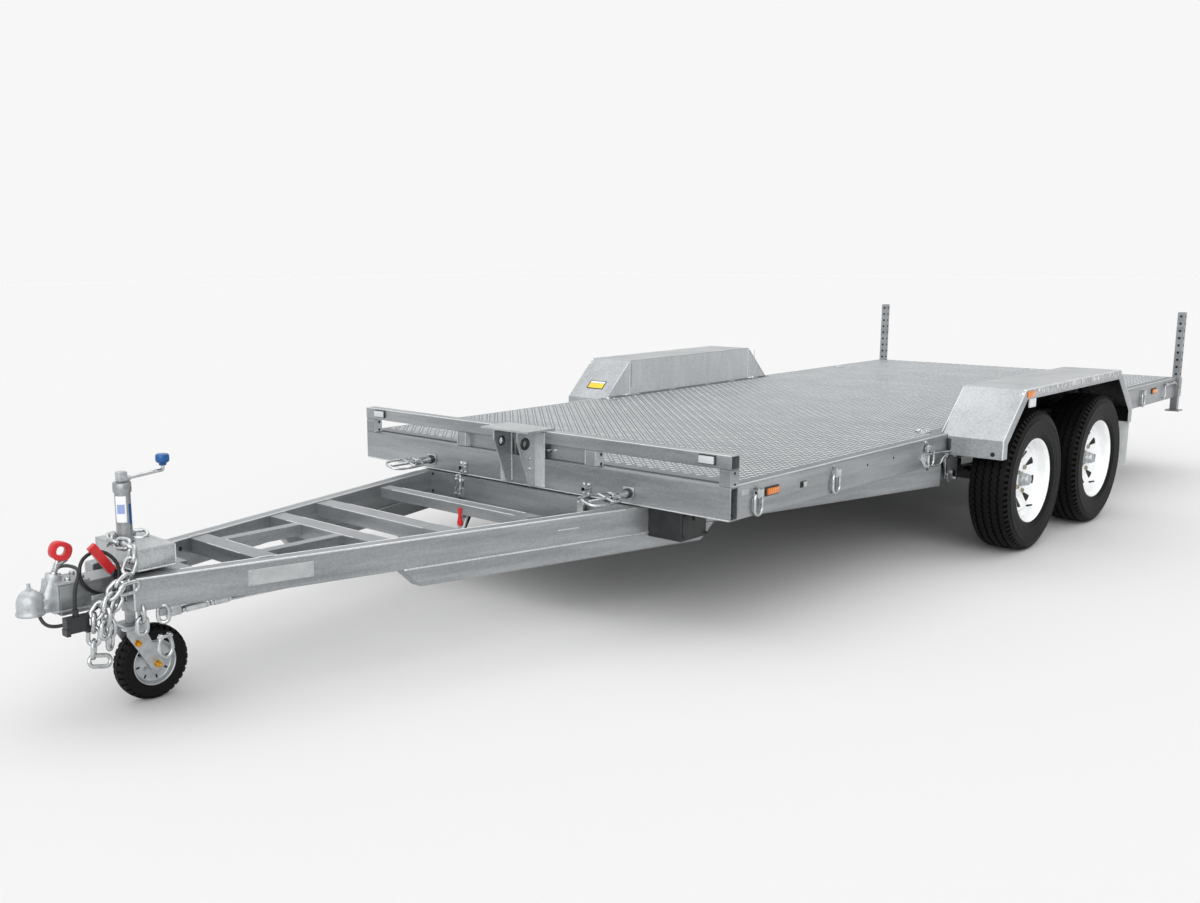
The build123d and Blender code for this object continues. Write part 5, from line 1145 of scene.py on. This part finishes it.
build("skirt_lamp_carriers", flap_white, "deck", both((cuboid, (-1998, 1240, 676), (-1930, 1249, 716), 3)), 40)
build("skirt_lamp_lenses", amber, "deck", both((cuboid, (-1978, 1243, 723), (-1892, 1256, 751), 4)), 40,
      ("marker_lamps",))
SLOPE = math.radians(43.9)    # of the fender's front
up, out = Vector((-math.cos(SLOPE), 0, math.sin(SLOPE))), Vector((math.sin(SLOPE), 0, math.cos(SLOPE)))
for name, finish, long, wide, rise, shift in (("edge", black_abs, 60, 118, 0.2, 0),
                                              ("face", label_yellow, 34, 104, 0.6, -6),
                                              ("band", label_white, 12, 104, 0.6, 19)):
    middle = mm(-1742, -1098, 625) + up * shift / 1000 + out * (0.2 + rise / 2) / 1000
    half = Vector((long / 2, wide / 2, rise / 2 + 0.2)) / 1000
    build("slope_label_" + name, finish, "deck",
          [(cuboid, middle - half, middle + half, 0.1, Matrix.Rotation(SLOPE, 4, "Y"))])
build("rail_data_plate", plate_metal, "deck", [(cuboid, (-112, 1000, 524), (-64, 1001.2, 546), 0.5)])

# ---- rows of pin holes down the rear legs, dark discs of painted shade ----------------------------
for side, name in ((1, "left"), (-1, "right")):
    rows = []
    for z in range(945, 449, -45):
        rows += [(bore, (-4905 + way * 20, 995, z), (way, 0, 0), 7.8) for way in (1, -1)]
        rows += [(bore, (-4905, 995 + way * 20, z), (0, way, 0), 7.6) for way in (1, -1)]
    build("leg_pin_holes_" + name, painted_shade_hollow, "leg_" + name, on(side, rows))

# ---- keeper plate and link rods by the hinge, rubber buffers, lashing rings and ramp hooks -------------
KEEPER = ((-1415, 478), (-1428, 505), (-1458, 517), (-1492, 512), (-1507, 486), (-1503, 440), (-1488, 426),
          (-1470, 426), (-1452, 446))
build("hinge_fixings", bright_zinc, "deck", both(
    (plate, [(x, 1000.3, z) for x, z in KEEPER], 5, OUT, 1),
    *[(bolt, (x, 1005, z), OUT, 15, 7, 10, 3) for x, z in ((-1470, 500), (-1478, 442))],
    (eye_bolt, (-1455, 1000, 552), OUT, 6.5),
    *[(bolt, (x, 1010, z), OUT, 16, 8, 11) for x, z in ((-1664, 385), (-1742, 359), (-1650, 470), (-1740, 460))],
    (cuboid, (-1655, 1010, 368), (-1640, 1014, 484), 1)), 35)
bent_bar("hinge_links", both_lines(
    [(-1500, 1009, 497), (-1560, 1012, 495), (-1625, 1016, 492), (-1690, 1018, 488)],
    [(-1500, 1009, 441), (-1545, 1014, 441), (-1585, 1016, 443), (-1600, 1016, 470), (-1640, 1016, 478)]), 4.2,
    bright_zinc, "deck")
build("hinge_buffers", black_abs, "deck", both((cuboid, (-1752, 1001, 492), (-1664, 1018, 546), 6)), 40)
LASHINGS = [(x, y) for y in (905, -905) for x in (-1640, -4120)]
build("lashing_plates", bright_zinc, "deck", [row for x, y in LASHINGS for row in (
    (cuboid, (x - 34, y - 20, 565), (x + 34, y + 20, 567.5), 1),
    *[(eye_bolt, (x + dx, y, 567.5), UP, 4.8) for dx in (-24, 24)])], 40)
bent_bar("lashing_loops", [[(x - 10, y - 16, 570), (x - 22, y - 22, 571), (x, y - 44, 571), (x + 22, y - 22, 571),
                            (x + 10, y - 16, 570)] for x, y in LASHINGS], 4, bright_zinc, "deck")
build("ramp_hook_guides", bright_zinc, "deck", both(
    *[(cuboid, (x, 1000, 528), (x + 18, 1014, 546), 3) for x in (-4690, -4830)],
    (cuboid, (-4872, 1020, 500), (-4860, 1032, 514), 2)), 40)
bent_bar("ramp_hooks", both_lines(
    [(-4610, 1007, 462), (-4622, 1014, 450), (-4640, 1014, 466), (-4640, 1010, 520), (-4655, 1009, 537),
     (-4760, 1009, 538), (-4862, 1009, 537), (-4868, 1009, 520)]), 5, bright_zinc, "deck")

# ---- road wheels: flat-faced centre with eight triangular windows of painted shade, hub, cap, drum, nuts and a valve ----
RIM = [(194, 77.5), (192, 79), (189, 77), (177.5, 67), (174.5, 60), (172, 40), (169, 33), (156, 23), (154.5, 10),
       (153, -30), (172, -44), (173.5, -65), (189, -77), (194, -77.5), (180, -69), (177, -64), (177, -40), (158.5, -28),
       (158.5, 18), (177, 38), (177, 64), (180, 69)]
DISC = [(34, 19), (36, 24), (72, 24), (76, 22.5), (80, 13), (84, 10), (134, 30), (140, 31.2), (148, 27), (153, 17),
        (155, 8), (151.5, 7), (148, 21), (140, 26.2), (135, 25), (84, 4.5), (77, 8), (74, 18.5)]
DRUM = [(19.3, -114), (126, -114), (130, -110), (130, -60), (127, -56), (127, -26), (124, -19), (78, -12.5),
        (74, -12), (19.3, -12)]
CAP = [(0, -11), (72.5, -11), (73.5, -10), (73.5, 18.5), (34.5, 18.8), (33.5, 20), (27.5, 24), (27, 34), (29.2, 35.5),
       (29.2, 38.5), (27.5, 41), (27.2, 50), (25.5, 58), (21, 63.5), (13, 66.8), (0, 67.8)]
WINDOW = ((88, -3), (87, 0), (88, 3), (125, 20), (129, 18), (131.5, 0), (129, -18), (125, -20), (115, 0))


def window(bm, centre, side, angle):
    """Dark inset of painted shade for a window, lying on the disc's bowl: a closed fan round the outline's last point.
    """
    turn = Matrix.Rotation(angle, 3, "Y")
    ring = [bm.verts.new(centre + turn @ Vector((x, side * (10.8 + (math.hypot(x, z) - 84) * 0.4), z)) / 1000)
            for x, z in WINDOW]
    fan = [bm.faces.new((ring[n - 1], ring[n], ring[8])) for n in range(1, 8)]
    fan.append(bm.faces.new((ring[7], ring[0], ring[8])))
    grown = bmesh.ops.extrude_face_region(bm, geom=fan)["geom"]
    bmesh.ops.translate(bm, vec=(0, -side * 0.002, 0), verts=only(bmesh.types.BMVert, grown))
    bmesh.ops.recalc_face_normals(bm, faces=bm.faces)


for wheel in WHEELS:
    side = 1 if wheel.endswith("left") else -1
    low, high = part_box("tyre_" + wheel)
    centre, axis = (low + high) / 2, (0, side, 0)
    nuts = [Matrix.Rotation(math.tau * index / 5 + 0.55, 3, "Y") @ Vector((0.057, side * 0.024, 0))
            for index in range(5)]
    stem = [Matrix.Rotation(2.1, 3, "Y") @ Vector((radius, side * out, 0)) for radius, out in
            ((0.160, 0.026), (0.150, 0.052))]
    for name, finish, rows, smooth, replaced in (
            ("wheel_pressing_", white_enamel, [(lathe, RIM, centre, axis, 96, True),
                                               (lathe, DISC, centre, axis, 96, True)], 32, ("rim_" + wheel,)),
            ("wheel_windows_", painted_shade_hollow, [(window, centre, side, math.tau * index / 8 + 0.646)
                                             for index in range(8)], None, ()),
            ("wheel_nuts_", nut_zinc, [(bolt, centre + nut, axis, 18, 8, 10.8, 2) for nut in nuts], 35, ()),
            ("brake_drum_", black_steel, [(lathe, DRUM, centre, axis, 64, True)], 35, ("hub_" + wheel,)),
            ("hub_cap_", silver_cast, [(lathe, CAP, centre, axis)], 35, ("hub_" + wheel,)),
            ("valve_", black_abs, [(bar, centre + stem[0], centre + stem[1], 4.8, 16, 1, 3.8)], 40, ())):
        build(name + wheel, finish, "wheel_" + wheel, rows, smooth, replaced)


# ---- studio -------------------------------------------------------------------------------------
FLOOR_GREY = 0.6734
SKY_LOW, SKY_HIGH = 0.42, 0.85    # grey levels round the horizon and overhead
SKY_STRENGTH = 1.06
BACK_GLOW = 1.9                   # how much brighter the surround is low down, behind and to the right
# name, height and bearing in degrees, strength, and how wide it looks in degrees
SUNS = (("overhead", 78, 200, 0.95, 75), ("nose_side", 22, 47, 1.52, 60), ("far_side", 28, -70, 0.45, 70),
        ("nose", 10, 2, 0.55, 60))


def studio():
    """Pale floor, a pale surround and soft lights from above and both sides."""
    paper, _, shader, _ = surface("studio_paper", "", roughness=1.0, specular_ior_level=0.0)
    shader.inputs["Base Color"].default_value = grey(FLOOR_GREY)
    bm = bmesh.new()
    bmesh.ops.create_grid(bm, x_segments=1, y_segments=1, size=60)
    mesh = bpy.data.meshes.new("studio_floor")
    bm.to_mesh(mesh)
    bm.free()
    mesh.materials.append(paper)
    floor = bpy.data.objects.new("studio_floor", mesh)
    scene.collection.objects.link(floor)
    world = bpy.data.worlds.new("studio")
    scene.world = world
    world.use_nodes = True
    tree = world.node_tree
    seen = tree.nodes["Background"]
    seen.inputs["Color"].default_value = linear("#f7f7f7")
    seen.inputs["Strength"].default_value = 1.0
    place = add(tree, "TexCoord").outputs["Generated"]
    height = add(tree, "SeparateXYZ", links={"Vector": place}).outputs["Z"]
    sky = ramp(tree, height, 0.0, 0.9, (grey(SKY_LOW), grey(SKY_HIGH)))
    away = add(tree, "VectorMath", values={1: (-0.707, -0.707, 0.0)}, links={0: place}, operation="DOT_PRODUCT")
    behind = spread(tree, away.outputs["Value"], 0.2, 0.9, 0.0, 1.0)
    low_band = spread(tree, height, 0.05, 0.60, 1.0, 0.0)
    lift = add(tree, "Math", links={0: behind, 1: low_band}, operation="MULTIPLY").outputs[0]
    power = spread(tree, lift, 0.0, 1.0, SKY_STRENGTH, SKY_STRENGTH * BACK_GLOW)
    glow = add(tree, "Background", links={"Color": sky, "Strength": power})
    path = add(tree, "LightPath")
    shown = add(tree, "MixShader", links={0: path.outputs["Is Camera Ray"], 1: glow.outputs[0], 2: seen.outputs[0]})
    tree.links.new(shown.outputs[0], tree.nodes["World Output"].inputs["Surface"])
    for name, height, round_about, power, spread_angle in SUNS:
        light = bpy.data.lights.new(name, "SUN")
        light.energy = power
        light.angle = math.radians(spread_angle)
        lamp = bpy.data.objects.new(name, light)
        scene.collection.objects.link(lamp)
        turn, rise = math.radians(round_about), math.radians(height)
        towards = Vector((math.cos(turn) * math.cos(rise), math.sin(turn) * math.cos(rise), math.sin(rise)))
        lamp.matrix_world = pointing(towards * 8, towards)


studio()
scene.view_settings.view_transform = "Standard"
